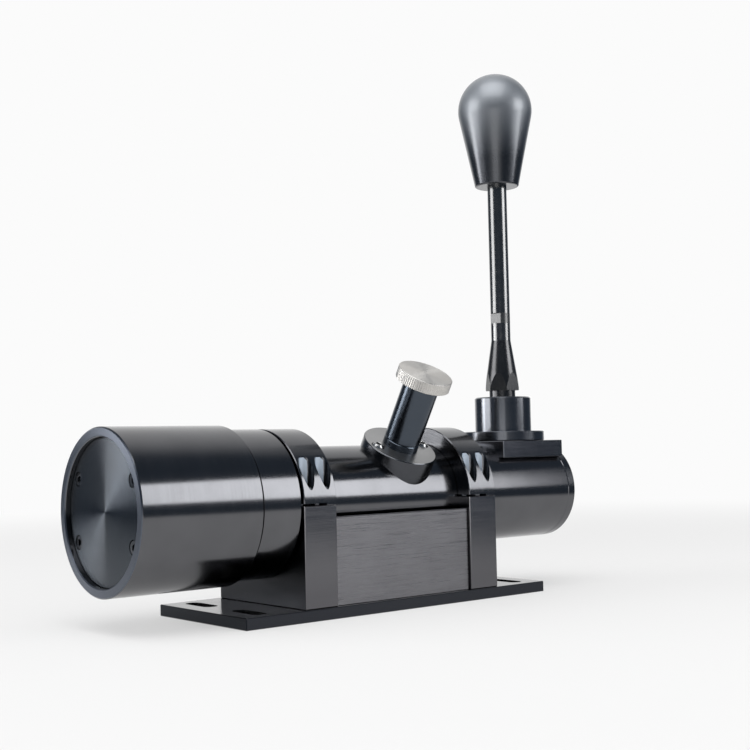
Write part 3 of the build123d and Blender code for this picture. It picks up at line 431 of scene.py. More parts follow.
@dataclass(frozen=True)
class Metal:
    """A worked metal surface, bare or anodised."""

    name: str
    colour: Colour
    roughness: float
    grain: Grain
    axis: Axis = TUBE_AXIS
    run: Place = (1, 0, 0)
    groove: float = 0.5 * MM
    relief: float = 0.05
    depth: float = 0.1 * MM
    anisotropy: float = 0.5
    cloud: float = 0.06
    cloud_size: float = 18.0 * MM
    scatter: float = 0.25
    stretch: float = 60.0
    zones: tuple[Zone, ...] = ()
    coat: float = 0.0
    coat_roughness: float = 0.2

    def material(self) -> bpy.types.Material:
        """Build the material for this finish.

        Returns:
            A node material that reads object coordinates.
        """
        work = Shading(self.name)
        for name, value in (("Metallic", 1.0), ("Anisotropic", self.anisotropy), ("Coat Weight", self.coat),
                            ("Coat Roughness", self.coat_roughness)):
            work.surface.inputs[name].default_value = value
        lines = work.noise(self.pattern(work), 1.0, OCTAVES)
        colour = work.tones(work.noise(work.place, 1 / self.cloud_size, OCTAVES), self.colour, self.cloud)
        roughness = work.scattered(lines, self.roughness, self.scatter)
        for zone in self.zones:
            mask = zone.mask(work)
            colour = work.overlay(mask, colour, zone.colour)
            roughness = work.overlay(mask, roughness, zone.roughness)
        work.link(colour, work.surface.inputs["Base Color"])
        work.link(roughness, work.surface.inputs["Roughness"])
        work.bump(lines, self.relief, self.depth)
        self.lay(work)
        return work.material

    def pattern(self, work: Shading) -> Socket:
        """The vector whose noise draws this surface's lines.

        Args:
            work: The material in hand.

        Returns:
            A vector with one unit for each groove.
        """
        if self.grain is Grain.TURNED:
            local = work.mapped("TEXTURE", self.axis.centre, self.axis.turn)
            rings = work.node("ShaderNodeCombineXYZ")
            work.link(work.along(local, (0, 0, 1)), rings.inputs["X"])
            work.link(work.vector("LENGTH", work.vector("MULTIPLY", local, (1, 1, 0))), rings.inputs["Y"])
            return work.vector("SCALE", rings.outputs["Vector"], scale=1 / self.groove)
        if self.grain is Grain.BRUSHED:
            long = self.stretch * self.groove
            scale = tuple(1 / (long if part else self.groove) for part in self.run)
            return work.mapped("POINT", scale=scale)
        return work.mapped("POINT", scale=(1 / self.groove,) * 3)

    def lay(self, work: Shading) -> None:
        """Turn the highlight by the direction of the grooves.

        Args:
            work: The material in hand.
        """
        if self.grain is Grain.TURNED:
            arm = work.vector("SUBTRACT", work.place, self.axis.centre)
            work.tangent(work.vector("NORMALIZE", work.vector("CROSS_PRODUCT", self.axis.direction, arm)))
        elif self.grain is Grain.BRUSHED:
            work.tangent(work.vector("ADD", self.run))


@dataclass(frozen=True)
class Plastic:
    """A moulded or machined plastic surface."""

    name: str
    colour: Colour
    roughness: float
    speck: float = 0.4 * MM
    relief: float = 0.06
    depth: float = 0.05 * MM
    cloud: float = 0.08
    cloud_size: float = 15.0 * MM
    scatter: float = 0.15

    def material(self) -> bpy.types.Material:
        """Build the material for this finish.

        Returns:
            A node material that reads object coordinates.
        """
        work = Shading(self.name)
        specks = work.noise(work.mapped("POINT", scale=(1 / self.speck,) * 3), 1.0)
        colour = work.tones(work.noise(work.place, 1 / self.cloud_size), self.colour, self.cloud)
        work.link(colour, work.surface.inputs["Base Color"])
        work.link(work.scattered(specks, self.roughness, self.scatter), work.surface.inputs["Roughness"])
        work.bump(specks, self.relief, self.depth)
        return work.material


@dataclass(frozen=True)
class Board:
    """Circuit board with copper lines under its lacquer."""

    name: str = "circuit_board"
    lacquer: Colour = (0.012, 0.10, 0.045)
    copper: Colour = (0.035, 0.22, 0.10)
    track: float = 1.6 * MM
    paler: float = 1.3
    speck: float = 1.1 * MM
    rough_low: float = 0.22
    rough_high: float = 0.34

    def material(self) -> bpy.types.Material:
        """Build the material for this finish.

        Returns:
            A node material that reads object coordinates.
        """
        work = Shading(self.name)
        bricks = work.node("ShaderNodeTexBrick")
        bricks.inputs["Scale"].default_value = 1 / self.track
        bricks.inputs["Color1"].default_value = (*self.lacquer, 1)
        bricks.inputs["Color2"].default_value = (*shade(self.lacquer, self.paler), 1)
        bricks.inputs["Mortar"].default_value = (*self.copper, 1)
        work.link(work.place, bricks.inputs["Vector"])
        work.link(bricks.outputs["Color"], work.surface.inputs["Base Color"])
        specks = work.noise(work.place, 1 / self.speck)
        work.link(work.spread(specks, self.rough_low, self.rough_high), work.surface.inputs["Roughness"])
        return work.material


Finish = Metal | Plastic | Board

# Tones laid over a part of a finish, some of them painted shade, sheen or reflection, and the axes that place them
LEVEL_AXIS = Axis((0, 0, AXIS_HEIGHT), (0, 0, 1), (0, 0, 0))
SHADOW_LINE_AXIS = Axis((-92.7 * MM, 0, AXIS_HEIGHT), (1, 0, 0), (0, 90, 0))
FLAT_AXIS = Axis((LEVER_X, 0, 165.0 * MM), (0, 0, 1), (0, 0, 0))
RIM_ZONE = Zone((0.105, 0.117, 0.142), 0.30, (FAR, FAR, 160.7 * MM), TUBE_AXIS)
# Painted shadow: a near-black band on the adapter ring just behind the housing's rear edge, where the gap's shade
# falls
PAINTED_SHADOW_LINE_ZONE = Zone((0.004, 0.004, 0.005), 0.6, (FAR, FAR, 0.35 * MM), SHADOW_LINE_AXIS, inside=True)
# Painted shade: the pedestals' outer end faces darkened, standing in for the dark that they reflect
END_SHADE_ZONE = Zone((0.020, 0.021, 0.024), 0.30, (68.0 * MM, FAR, FAR))
# Painted shade: the pedestals darker the further they lie below the tube's level, so towards the foot
FOOT_SHADE_ZONE = Zone((0.122, 0.120, 0.128), 0.20, (FAR, FAR, 6.0 * MM), LEVEL_AXIS, blur=40.0 * MM)
EDGE_ZONE = Zone((0.035, 0.037, 0.043), 0.35, (104.7 * MM, 40.2 * MM, FAR))
PLATE_END_ZONE = Zone((0.012, 0.014, 0.018), 0.35, (104.7 * MM, FAR, FAR))
SADDLE_ZONE = Zone((0.36, 0.36, 0.36), 0.34, (FAR, FAR, 33.45 * MM), TOWER_AXIS)
FLAT_ZONE = Zone((0.13, 0.13, 0.13), 0.34, (FAR, FAR, 3.15 * MM), FLAT_AXIS, inside=True)
# Painted sheen: the knob paler and rougher above 264 mm, standing in for an overhead light on its top
KNOB_TOP_SHEEN_ZONE = Zone((0.31, 0.325, 0.345), 0.56, (FAR, FAR, 264.0 * MM), blur=40.0 * MM)
# Painted shade: the clamp screws near-black within 3.6 mm of the tube's level, where they cross the shaded gap
# between cap and pedestal
GAP_SHADE_ZONE = Zone((0.010, 0.010, 0.012), 0.6, (FAR, FAR, 3.6 * MM), LEVEL_AXIS, inside=True)

# The painted reflection, a pale patch, on the wall of each near screw pocket of a clamp cap
POCKET_LEAN = 64.4
POCKET_REACH = 28.85 * MM
POCKET_SPREAD = 5.2 * MM
POCKET_REFLECTION_SHIFT = -0.45 * MM
POCKET_HALF = (2.25 * MM, 8.4 * MM, 8.7 * MM)
POCKET_BLUR = 0.15 * MM
POCKET_REFLECTION_TONE: Colour = (0.60, 0.67, 0.75)
POCKET_ROUGHNESS = 0.45

# Finishes: black anodised aluminium
BLACK: Colour = (0.120, 0.121, 0.128)
TURNED_BLACK = Metal("anodised_turned", BLACK, 0.17, Grain.TURNED, groove=0.6 * MM, relief=0.06,
                     anisotropy=0.55, scatter=0.16)
RIMMED_BLACK = replace(TURNED_BLACK, name="anodised_rimmed", relief=0.05, scatter=0.14, zones=(RIM_ZONE,))
# The turned finish with that painted shadow line; the clamp caps take it with their own zones instead
SHADOW_LINED_BLACK = replace(TURNED_BLACK, name="anodised_shadow_lined", relief=0.10, scatter=0.25, zones=(PAINTED_SHADOW_LINE_ZONE,))
FACED_BLACK = Metal("anodised_faced", (0.070, 0.079, 0.091), 0.25, Grain.TURNED, groove=0.25 * MM, relief=0.008,
                    anisotropy=0.96, cloud=0.10, scatter=0.06)
MILLED_BLACK = Metal("anodised_milled", (0.112, 0.116, 0.130), 0.20, Grain.BRUSHED, run=(0.9, 0.44, 0.0),
                     groove=0.25 * MM, relief=0.08, stretch=120.0)
# Pedestals: their own tone, with painted shade on the end faces and towards the foot
PEDESTAL_BLACK = replace(MILLED_BLACK, name="anodised_pedestal", colour=(0.195, 0.192, 0.200), roughness=0.17,
                         zones=(FOOT_SHADE_ZONE, END_SHADE_ZONE))
BASE_BLACK = Metal("anodised_base", (0.13, 0.13, 0.135), 0.19, Grain.BRUSHED, groove=0.25 * MM, relief=0.05,
                   stretch=120.0, zones=(EDGE_ZONE, PLATE_END_ZONE))
PLATE_BLACK = Metal("anodised_brushed", (0.150, 0.148, 0.156), 0.34, Grain.BRUSHED, groove=0.16 * MM,
                    relief=0.55, anisotropy=0.7, scatter=0.45, stretch=160.0)
LEVER_BLACK = Metal("anodised_pivot", (0.150, 0.155, 0.168), 0.19, Grain.TURNED, axis=LEVER_AXIS,
                    groove=0.6 * MM, relief=0.01, scatter=0.1)
TOWER_BLACK = Metal("anodised_tower", (0.066, 0.078, 0.095), 0.21, Grain.TURNED, axis=TOWER_AXIS,
                    groove=3.0 * MM, relief=0.002, anisotropy=0.3, scatter=0.1)
SADDLE_BLACK = Metal("anodised_drag_saddle", (0.075, 0.078, 0.086), 0.22, Grain.TURNED, axis=TOWER_AXIS,
                     groove=0.4 * MM, relief=0.08, zones=(SADDLE_ZONE,))

# Finishes: the lever
HUB_BLACK = Metal("black_hub_steel", (0.078, 0.078, 0.080), 0.25, Grain.POLISHED, groove=4.0 * MM, relief=0.001,
                  anisotropy=0.0, cloud=0.12, scatter=0.05)
GLOSS_BLACK = Metal("black_steel", (0.17, 0.17, 0.17), 0.20, Grain.POLISHED, groove=4.0 * MM, relief=0.0,
                    anisotropy=0.0, scatter=0.15, zones=(FLAT_ZONE,))
# The knob's finish, with the painted sheen on its top
KNOB_BLACK = Metal("knob_satin", (0.070, 0.073, 0.081), 0.25, Grain.BLASTED, groove=0.25 * MM, relief=0.01,
                   anisotropy=0.0, coat=0.4, coat_roughness=0.16, zones=(KNOB_TOP_SHEEN_ZONE,))

# Finishes: bare metal, screws and the rest
CAP_ALUMINIUM = Metal("turned_aluminium", (0.63, 0.61, 0.58), 0.46, Grain.TURNED, axis=TOWER_AXIS,
                      groove=0.30 * MM, relief=0.08, anisotropy=0.7, cloud=0.04)
PLAIN_ALUMINIUM = Metal("machined_aluminium", (0.74, 0.74, 0.73), 0.28, Grain.TURNED, groove=0.5 * MM, relief=0.1)
GROUND_STEEL = Metal("ground_steel", (0.62, 0.62, 0.63), 0.16, Grain.TURNED, groove=0.3 * MM, relief=0.05)
LEVER_STEEL = replace(GROUND_STEEL, name="ground_lever_steel", colour=(0.60, 0.60, 0.61), axis=LEVER_AXIS)
BRIGHT_STEEL = Metal("bright_steel", (0.36, 0.36, 0.36), 0.24, Grain.POLISHED, groove=0.8 * MM, anisotropy=0.0)
SCREW_BLACK = Metal("black_oxide", (0.30, 0.31, 0.32), 0.22, Grain.BLASTED, groove=0.2 * MM, relief=0.08,
                    anisotropy=0.0)
# Clamp screws with that painted shade in the gap
CLAMP_SCREW = replace(SCREW_BLACK, name="black_clamp_screw", zones=(GAP_SHADE_ZONE,))
COVER_SCREW = Metal("black_cover_screw", (0.10, 0.105, 0.115), 0.18, Grain.BLASTED, groove=0.2 * MM, relief=0.02,
                    anisotropy=0.0)
SPRING_STEEL = Metal("spring_steel", (0.46, 0.46, 0.48), 0.24, Grain.POLISHED, groove=0.6 * MM, anisotropy=0.0)
BRONZE = Metal("sintered_bronze", (0.58, 0.39, 0.20), 0.38, Grain.BLASTED, groove=0.25 * MM, relief=0.15,
               anisotropy=0.0, cloud=0.12)
NICKEL = Metal("nickel_plate", (0.72, 0.71, 0.68), 0.14, Grain.POLISHED, groove=1.0 * MM, anisotropy=0.0)
SEAT_POLYMER = Plastic("seat_polymer", (0.80, 0.78, 0.72), 0.42)


def clamp_cap(name: str, middle: float) -> Metal:
    """Finish of one clamp cap, with a painted reflection on the wall of each near screw pocket.

    Args:
        name: The finish's name.
        middle: The cap's middle along the tube.

    Returns:
        The finish.
    """
    lean = math.radians(POCKET_LEAN)
    place = Vector((middle - POCKET_REFLECTION_SHIFT, -POCKET_REACH * math.sin(lean), POCKET_REACH * math.cos(lean)))
    zones = []
    for side in (-POCKET_SPREAD, POCKET_SPREAD):
        centre = tuple(place + Vector((side, 0, AXIS_HEIGHT)))
        axis = Axis(centre, (0, 0, 1), (POCKET_LEAN, 0, 0))
        # Painted reflection: a pale, rougher patch on the pocket's far wall
        zones.append(Zone(POCKET_REFLECTION_TONE, POCKET_ROUGHNESS, POCKET_HALF, axis, inside=True, blur=POCKET_BLUR))
    return replace(SHADOW_LINED_BLACK, name=name, zones=tuple(zones))


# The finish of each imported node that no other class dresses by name
SLOT_FINISHES: dict[str, Finish] = {
    "black_anodised": MILLED_BLACK,
    "brushed_plate": PLATE_BLACK,
    "plain_aluminium": PLAIN_ALUMINIUM,
    "bright_steel": BRIGHT_STEEL,
    "black_screws": SCREW_BLACK,
    "ground_steel": GROUND_STEEL,
    "gloss_black_steel": GLOSS_BLACK,
    "knob_black": KNOB_BLACK,
    "bronze": BRONZE,
    "spring_steel": SPRING_STEEL,
    "seat_polymer": SEAT_POLYMER,
    "magnet_nickel": NICKEL,
    "circuit_board": Board(),
    "socket_shell": NICKEL,
}


class Paint:
    """Keeps one material for each finish and puts it on pieces and nodes."""

    def __init__(self) -> None:
        """Start with no material made."""
        self.made: dict[str, bpy.types.Material] = {}

    def get(self, finish: Finish) -> bpy.types.Material:
        """The finish's material, made on first use.

        Args:
            finish: The finish wanted.

        Returns:
            Its material.
        """
        if finish.name not in self.made:
            self.made[finish.name] = finish.material()
        return self.made[finish.name]

    def coat(self, obj: bpy.types.Object, finish: Finish) -> None:
        """Give an object one finish all over.

        Args:
            obj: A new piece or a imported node.
            finish: The finish.
        """
        material = self.get(finish)
        if not obj.material_slots:
            obj.data.materials.append(material)
        for slot in obj.material_slots:
            slot.material = material


# Making meshes
WELD = 0.002 * MM
TINY = 0.001 * MM


class RingStack:
    """A closed skin raised ring by ring from one circle about Z."""

    def __init__(self, segments: int) -> None:
        """Start an empty skin.

        Args:
            segments: Corners of every ring.
        """
        self.mesh = bmesh.new()
        self.segments = segments
        self.rim: list[bmesh.types.BMEdge] = []

    def pole(self, height: float, radius: float | Outline) -> "RingStack":
        """Start at a closed centre and a first ring.

        Args:
            height: Height of the centre and the ring.
            radius: Radius of the ring.

        Returns:
            The stack.
        """
        made = bmesh.ops.create_circle(self.mesh, cap_ends=True, cap_tris=True, segments=self.segments, radius=1.0)
        outer = [vert for vert in made["verts"] if vert.co.length > TINY]
        self.place(outer, height, radius)
        for vert in made["verts"]:
            vert.co.z = height
        ring = set(outer)
        self.rim = [edge for edge in self.mesh.edges if set(edge.verts) <= ring and edge.is_boundary]
        return self

    def place(self, verts: Iterable[bmesh.types.BMVert], height: float, radius: float | Outline) -> None:
        """Move one ring's corners to a radius and height.

        Args:
            verts: The corners.
            height: Their new height.
            radius: One radius, or a function of the angle.
        """
        for vert in verts:
            angle = math.atan2(vert.co.y, vert.co.x)
            reach = radius(angle) if callable(radius) else radius
            vert.co = (reach * math.cos(angle), reach * math.sin(angle), height)

    def ring(self, height: float, radius: float | Outline) -> "RingStack":
        """Raise the next ring.

        Args:
            height: Its height.
            radius: One radius, or a function of the angle.

        Returns:
            The stack.
        """
        made = bmesh.ops.extrude_edge_only(self.mesh, edges=self.rim)["geom"]
        verts = [part for part in made if isinstance(part, bmesh.types.BMVert)]
        ring = set(verts)
        self.rim = [part for part in made if isinstance(part, bmesh.types.BMEdge) and set(part.verts) <= ring]
        self.place(verts, height, radius)
        return self

    def close(self, height: float) -> "RingStack":
        """Draw the last ring in to a centre.

        Args:
            height: Height of the centre.

        Returns:
            The stack.
        """
        self.ring(height, TINY)
        verts = {vert for edge in self.rim for vert in edge.verts}
        bmesh.ops.pointmerge(self.mesh, verts=list(verts), merge_co=(0, 0, height))
        return self


def hexagon(across: float) -> Outline:
    """Outline of a hexagon.

    Args:
        across: Size across its flats.

    Returns:
        Its radius by angle, with a corner at zero.
    """
    sixth = math.pi / 3

    def reach(angle: float) -> float:
        """Radius at an angle."""
        return across / 2 / math.cos((angle % sixth) - sixth / 2)

    return reach


def knurl(radius: float, depth: float, teeth: int) -> Outline:
    """Outline of straight rounded teeth.

    Args:
        radius: Radius over the teeth.
        depth: Their depth.
        teeth: How many.

    Returns:
        The radius by angle.
    """

    def reach(angle: float) -> float:
        """Radius at an angle."""
        return radius - depth * (1 - math.cos(teeth * angle)) / 2

    return reach


def settle(mesh: Skin, sharp_angle: float = 28.0) -> None:
    """Merge doubles, turn faces outwards and mark the sharp edges.

    Args:
        mesh: The mesh in hand.
        sharp_angle: Angle in degrees above which an edge stays sharp.
    """
    bmesh.ops.remove_doubles(mesh, verts=mesh.verts, dist=WELD)
    bmesh.ops.recalc_face_normals(mesh, faces=mesh.faces)
    limit = math.radians(sharp_angle)
    for face in mesh.faces:
        face.smooth = True
    for edge in mesh.edges:
        edge.smooth = len(edge.link_faces) == 2 and edge.calc_face_angle(0.0) < limit


def placed(name: str, data: bpy.types.ID) -> bpy.types.Object:
    """A new object in the scene.

    Args:
        name: Its name.
        data: Its mesh, lamp or camera.

    Returns:
        The object, at the origin.
    """
    obj = bpy.data.objects.new(name, data)
    bpy.context.scene.collection.objects.link(obj)
    return obj


def new_piece(name: str, mesh: Skin) -> bpy.types.Object:
    """Turn a finished mesh into an object at the origin.

    Args:
        name: The piece's name.
        mesh: The mesh, which is freed.

    Returns:
        The object.
    """
    settle(mesh)
    data = bpy.data.meshes.new(name)
    mesh.to_mesh(data)
    mesh.free()
    return placed(name, data)


def copies(make: Callable[[], Skin], places: Sequence[Matrix]) -> Skin:
    """One mesh that holds the same shape at several places.

    Args:
        make: Builds the shape about the origin.
        places: Where the copies go.

    Returns:
        The joined mesh.
    """
    joined = bmesh.new()
    for place in places:
        part = make()
        bmesh.ops.transform(part, matrix=place, verts=part.verts)
        data = bpy.data.meshes.new("copy")
        part.to_mesh(data)
        part.free()
        joined.from_mesh(data)
        bpy.data.meshes.remove(data)
    return joined


@dataclass(frozen=True)
class SocketScrew:
    """A screw with a hexagon socket, its head's underside at the origin."""

    shank: float
    head: float
    height: float
    key: float
    length: float
    edge: float = 0.3 * MM
    button: bool = False
    segments: int = 48
    depth_share: float = 0.55
    crown_share: float = 0.62
    crown_steps: tuple[float, ...] = (0.15, 0.35, 0.6, 0.85)

    def shaft(self) -> RingStack:
        """Raise the shank from its chamfered end."""
        stack = RingStack(self.segments).pole(-self.length, self.shank - self.edge)
        return stack.ring(self.edge - self.length, self.shank)

    def sink_socket(self, stack: RingStack, top: float) -> Skin:
        """Sink the hexagon socket, which closes the screw.

        Args:
            stack: The screw as far as the edge of its top.
            top: The top's height.

        Returns:
            The screw's mesh.
        """
        key, rim = hexagon(self.key), hexagon(self.key + self.edge)
        floor = top - self.height * self.depth_share
        return stack.ring(top, rim).ring(top - self.edge / 2, key).ring(floor, key).close(floor - self.edge).mesh

    def mesh(self) -> Skin:
        """Build the screw along Z.

        Returns:
            Its mesh.
        """
        stack = self.shaft().ring(0, self.shank).ring(0, self.head)
        crown = self.head - self.edge
        if self.button:
            crown = self.head * self.crown_share
            for share in self.crown_steps:
                bow = math.cos(share * math.pi / 2)
                stack.ring(self.height * share, crown + (self.head - crown) * bow)
        else:
            stack.ring(self.height - self.edge, self.head)
        return self.sink_socket(stack.ring(self.height, crown), self.height)

    def sunk_mesh(self) -> Skin:
        """Build a countersunk screw along Z, its flat face at the origin.

        Returns:
            Its mesh.
        """
        stack = self.shaft().ring(-self.height, self.shank)
        return self.sink_socket(stack.ring(-self.edge, self.head).ring(0, self.head - self.edge), 0)


# The small screw that several sub-assemblies share, at its longest
SMALL_SCREW = SocketScrew(2.0 * MM, 3.5 * MM, 4.0 * MM, 3.0 * MM, 16.0 * MM)


@dataclass(frozen=True)
class Coil:
    """A compression spring wound about Z."""

    radius: float
    wire: float
    low: float
    high: float
    turns: int
    steps: int = 24
    sides: int = 10

    def mesh(self) -> Skin:
        """Wind the spring.

        Returns:
            Its mesh.
        """
        made = bmesh.new()
        start = bmesh.ops.create_circle(made, cap_ends=False, segments=self.sides, radius=self.wire / 2)
        place = Matrix.Translation((self.radius - self.wire / 2, 0, self.low + self.wire / 2))
        bmesh.ops.transform(made, matrix=place @ Matrix.Rotation(math.pi / 2, 4, "X"), verts=start["verts"])
        count = self.turns * self.steps
        climb = (self.high - self.low - self.wire) / count
        bmesh.ops.spin(made, geom=made.verts[:] + made.edges[:], cent=(0, 0, 0), axis=(0, 0, 1),
                       dvec=(0, 0, climb), angle=2 * math.pi * self.turns, steps=count, use_merge=False)
        bmesh.ops.holes_fill(made, edges=[edge for edge in made.edges if edge.is_boundary], sides=0)
        return made


# Sub-assemblies
@dataclass
class SubAssembly:
    """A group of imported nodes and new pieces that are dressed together."""

    paint: Paint
    finishes: dict[str, Finish] = field(default_factory=dict)

    def dress(self) -> None:
        """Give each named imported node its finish."""
        for node, finish in self.finishes.items():
            self.paint.coat(frame["nodes"][node], finish)
            log.info("dressed %s with %s", node, finish.name)

    def add(self, name: str, mesh: Skin, finish: Finish, body: Body, node: str, slot: str) -> bpy.types.Object:
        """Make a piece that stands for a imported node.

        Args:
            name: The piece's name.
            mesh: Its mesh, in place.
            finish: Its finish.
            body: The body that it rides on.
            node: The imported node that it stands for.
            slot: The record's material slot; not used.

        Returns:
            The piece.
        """
        piece = new_piece(name, mesh)
        self.paint.coat(piece, finish)
        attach(piece, body.value)
        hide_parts(node)
        log.info("made %s, %d faces", name, len(piece.data.polygons))
        return piece

    def build(self) -> None:
        """Build the new pieces; the plain sub-assembly has none."""


def spots(xs: Iterable[float], ys: Iterable[float], height: float) -> list[Matrix]:
    """Places on a level grid, one for each crossing of the xs and ys."""
    return [Matrix.Translation((x, y, height)) for x in xs for y in ys]


@dataclass
class ClampedBase(SubAssembly):
    """Base plate, pedestals, clamp caps, side plates and their screws."""

    pedestal_x: float = 57.8 * MM
    clamp_screw_x: float = 5.2 * MM
    clamp_screw_y: float = 34.2 * MM
    clamp_seat: float = 62.8 * MM
    foot_screw_y: float = 27.0 * MM
    side_screw_x: float = 35.0 * MM
    side_screw_y: float = 34.7 * MM
    foot_sink: float = 0.2 * MM
    clamp_screw: SocketScrew = SMALL_SCREW
    foot_screw: SocketScrew = SocketScrew(3.0 * MM, 5.6 * MM, 3.3 * MM, 4.0 * MM, 16.0 * MM)
    side_screw: SocketScrew = SocketScrew(1.5 * MM, 2.75 * MM, 3.0 * MM, 2.5 * MM, 12.0 * MM)

    def build(self) -> None:
        """Build the clamp, foot and side screws."""
        centres = (-self.pedestal_x, self.pedestal_x)
        across = (-self.clamp_screw_x, self.clamp_screw_x)
        xs = [centre + side for centre in centres for side in across]
        places = spots(xs, (-self.clamp_screw_y, self.clamp_screw_y), self.clamp_seat)
        self.add("clamp_socket_screws", copies(self.clamp_screw.mesh, places), CLAMP_SCREW, Body.FRAME,
                 "clamp_screws", "black_screws")
        places = spots(centres, (-self.foot_screw_y, self.foot_screw_y), self.foot_sink)
        self.add("pedestal_sunk_screws", copies(self.foot_screw.sunk_mesh, [spot @ HALF_TURN for spot in places]),
                 SCREW_BLACK, Body.FRAME, "pedestal_screws", "black_screws")
        seat = self.side_screw.height + self.foot_sink
        places = spots((-self.side_screw_x, self.side_screw_x), (-self.side_screw_y, self.side_screw_y), seat)
        self.add("side_plate_socket_screws", copies(self.side_screw.mesh, [spot @ HALF_TURN for spot in places]),
                 SCREW_BLACK, Body.FRAME, "side_plate_screws", "black_screws")


@dataclass
class TubeAndHousing(SubAssembly):
    """Tube, adapter ring, front housing with its cover, and end cap."""

    cover_seat: float = -153.85 * MM
    screw_circle: float = 31.2 * MM
    screw_angle: float = 30.0
    screw: SocketScrew = replace(SMALL_SCREW, length=8.0 * MM)

    def build(self) -> None:
        """Build the four screws of the front cover."""
        places = []
        for turn in (self.screw_angle, -self.screw_angle, 180 - self.screw_angle, 180 + self.screw_angle):
            angle = math.radians(turn)
            spot = (self.screw_circle * math.sin(angle), self.screw_circle * math.cos(angle), self.cover_seat)
            places.append(ALONG_TUBE @ Matrix.Translation(spot) @ HALF_TURN)
        self.add("cover_socket_screws", copies(self.screw.mesh, places), COVER_SCREW, Body.FRAME,
                 "front_cover_screws", "black_screws")


@dataclass
class SelectorTrain(SubAssembly):
    """Shaft, head, gate drum, hub and the two centring springs."""

    spring_x: float = -106.2 * MM
    spring_z: float = 80.3 * MM
    spring_foot: float = 4.3 * MM
    spring_end: float = 16.3 * MM
    spring_radius: float = 3.0 * MM
    spring_wire: float = 1.0 * MM
    squeezed_share: float = 0.55

    def build(self) -> None:
        """Wind the two centring springs beside the hub's lug."""
        coil = Coil(self.spring_radius, self.spring_wire, self.spring_foot, self.spring_end, turns=6)
        for name, side in (("near", -1), ("far", 1)):
            lay = Matrix.Translation((self.spring_x, 0, self.spring_z)) @ Matrix.Rotation(-side * math.pi / 2, 4, "X")
            spring = self.add(f"{name}_centring_coil", copies(coil.mesh, [lay]), SPRING_STEEL, Body.FRAME,
                              f"{name}_centring_spring", "spring_steel")
            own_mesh(spring)


@dataclass
class LeverPivot(SubAssembly):
    """Saddle, pivot cup with its screws, ball, seats and cross pin."""

    screw_reach: float = 14.991 * MM
    screw_seat: float = 90.3 * MM
    screw: SocketScrew = replace(SMALL_SCREW, length=10.0 * MM)

    def build(self) -> None:
        """Build the four screws in the flange."""
        xs = (LEVER_X - self.screw_reach, LEVER_X + self.screw_reach)
        places = spots(xs, (-self.screw_reach, self.screw_reach), self.screw_seat)
        self.add("pivot_socket_screws", copies(self.screw.mesh, places), SCREW_BLACK, Body.FRAME,
                 "pivot_screws", "black_screws")


@dataclass
class DragAdjuster(SubAssembly):
    """Saddle, tower, spring and the knurled cap that loads them."""

    screw_reach: float = 16.3 * MM
    screw_seat: float = 32.7 * MM
    screw: SocketScrew = replace(SMALL_SCREW, height=2.2 * MM, length=8.0 * MM, button=True)
    cap_foot: float = 72.4 * MM
    cap_height: float = 6.5 * MM
    cap_radius: float = 15.4 * MM
    cap_edge: float = 0.25 * MM
    cap_bore: float = 4.0 * MM
    cap_bore_depth: float = 4.0 * MM
    teeth: int = 76
    tooth_depth: float = 0.2 * MM
    tooth_steps: int = 6
    spring: Coil = Coil(5.9 * MM, 1.3 * MM, 22.0 * MM, 60.0 * MM, turns=9)
    spring_share: float = 0.9

    def cap_mesh(self) -> Skin:
        """Build the cap with straight teeth round its side.

        Returns:
            Its mesh along Z.
        """
        top = self.cap_foot + self.cap_height
        land = self.cap_radius - self.tooth_depth - self.cap_edge
        teeth = knurl(self.cap_radius, self.tooth_depth, self.teeth)
        stack = RingStack(self.tooth_steps * self.teeth)
        stack.pole(self.cap_foot + self.cap_bore_depth, self.cap_bore)
        stack.ring(self.cap_foot, self.cap_bore).ring(self.cap_foot, land)
        stack.ring(self.cap_foot + self.cap_edge, teeth).ring(top - self.cap_edge, teeth)
        stack.ring(top, land).ring(top, land / 2).close(top)
        return stack.mesh

    def build(self) -> None:
        """Build the cap, the saddle's screws and the spring."""
        cap = copies(self.cap_mesh, [ALONG_TOWER])
        self.add("knurled_cap", cap, CAP_ALUMINIUM, Body.CAP, "adjuster_cap", "plain_aluminium")
        places = [
            ALONG_TOWER @ Matrix.Translation((side * self.screw_reach, 0, self.screw_seat)) for side in (-1, 1)
        ]
        self.add("drag_button_screws", copies(self.screw.mesh, places), BRIGHT_STEEL, Body.FRAME,
                 "drag_saddle_screws", "bright_steel")
        spring = self.add("drag_coil", copies(self.spring.mesh, [ALONG_TOWER]), SPRING_STEEL, Body.FRAME,
                          "drag_spring", "spring_steel")
        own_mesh(spring)


# Studio
@dataclass(frozen=True)
class Softbox:
    """A rectangular lamp that faces a point."""

    name: str
    place: Place
    aim: Place
    width: float
    height: float
    radiance: float
    roll: float = 0.0

    def build(self) -> None:
        """Hang the lamp, unseen by the camera itself."""
        lamp = bpy.data.lights.new(self.name, "AREA")
        lamp.shape = "RECTANGLE"
        lamp.size, lamp.size_y = self.width, self.height
        lamp.energy = self.radiance * math.pi * self.width * self.height
        obj = placed(self.name, lamp)
        obj.location = self.place
        aim = Vector(self.aim) - Vector(self.place)
        turn = aim.to_track_quat("-Z", "Y").to_matrix() @ Matrix.Rotation(math.radians(self.roll), 3, "Z")
        obj.rotation_euler = turn.to_euler()
        obj.visible_camera = False
        log.info("hung %s", self.name)


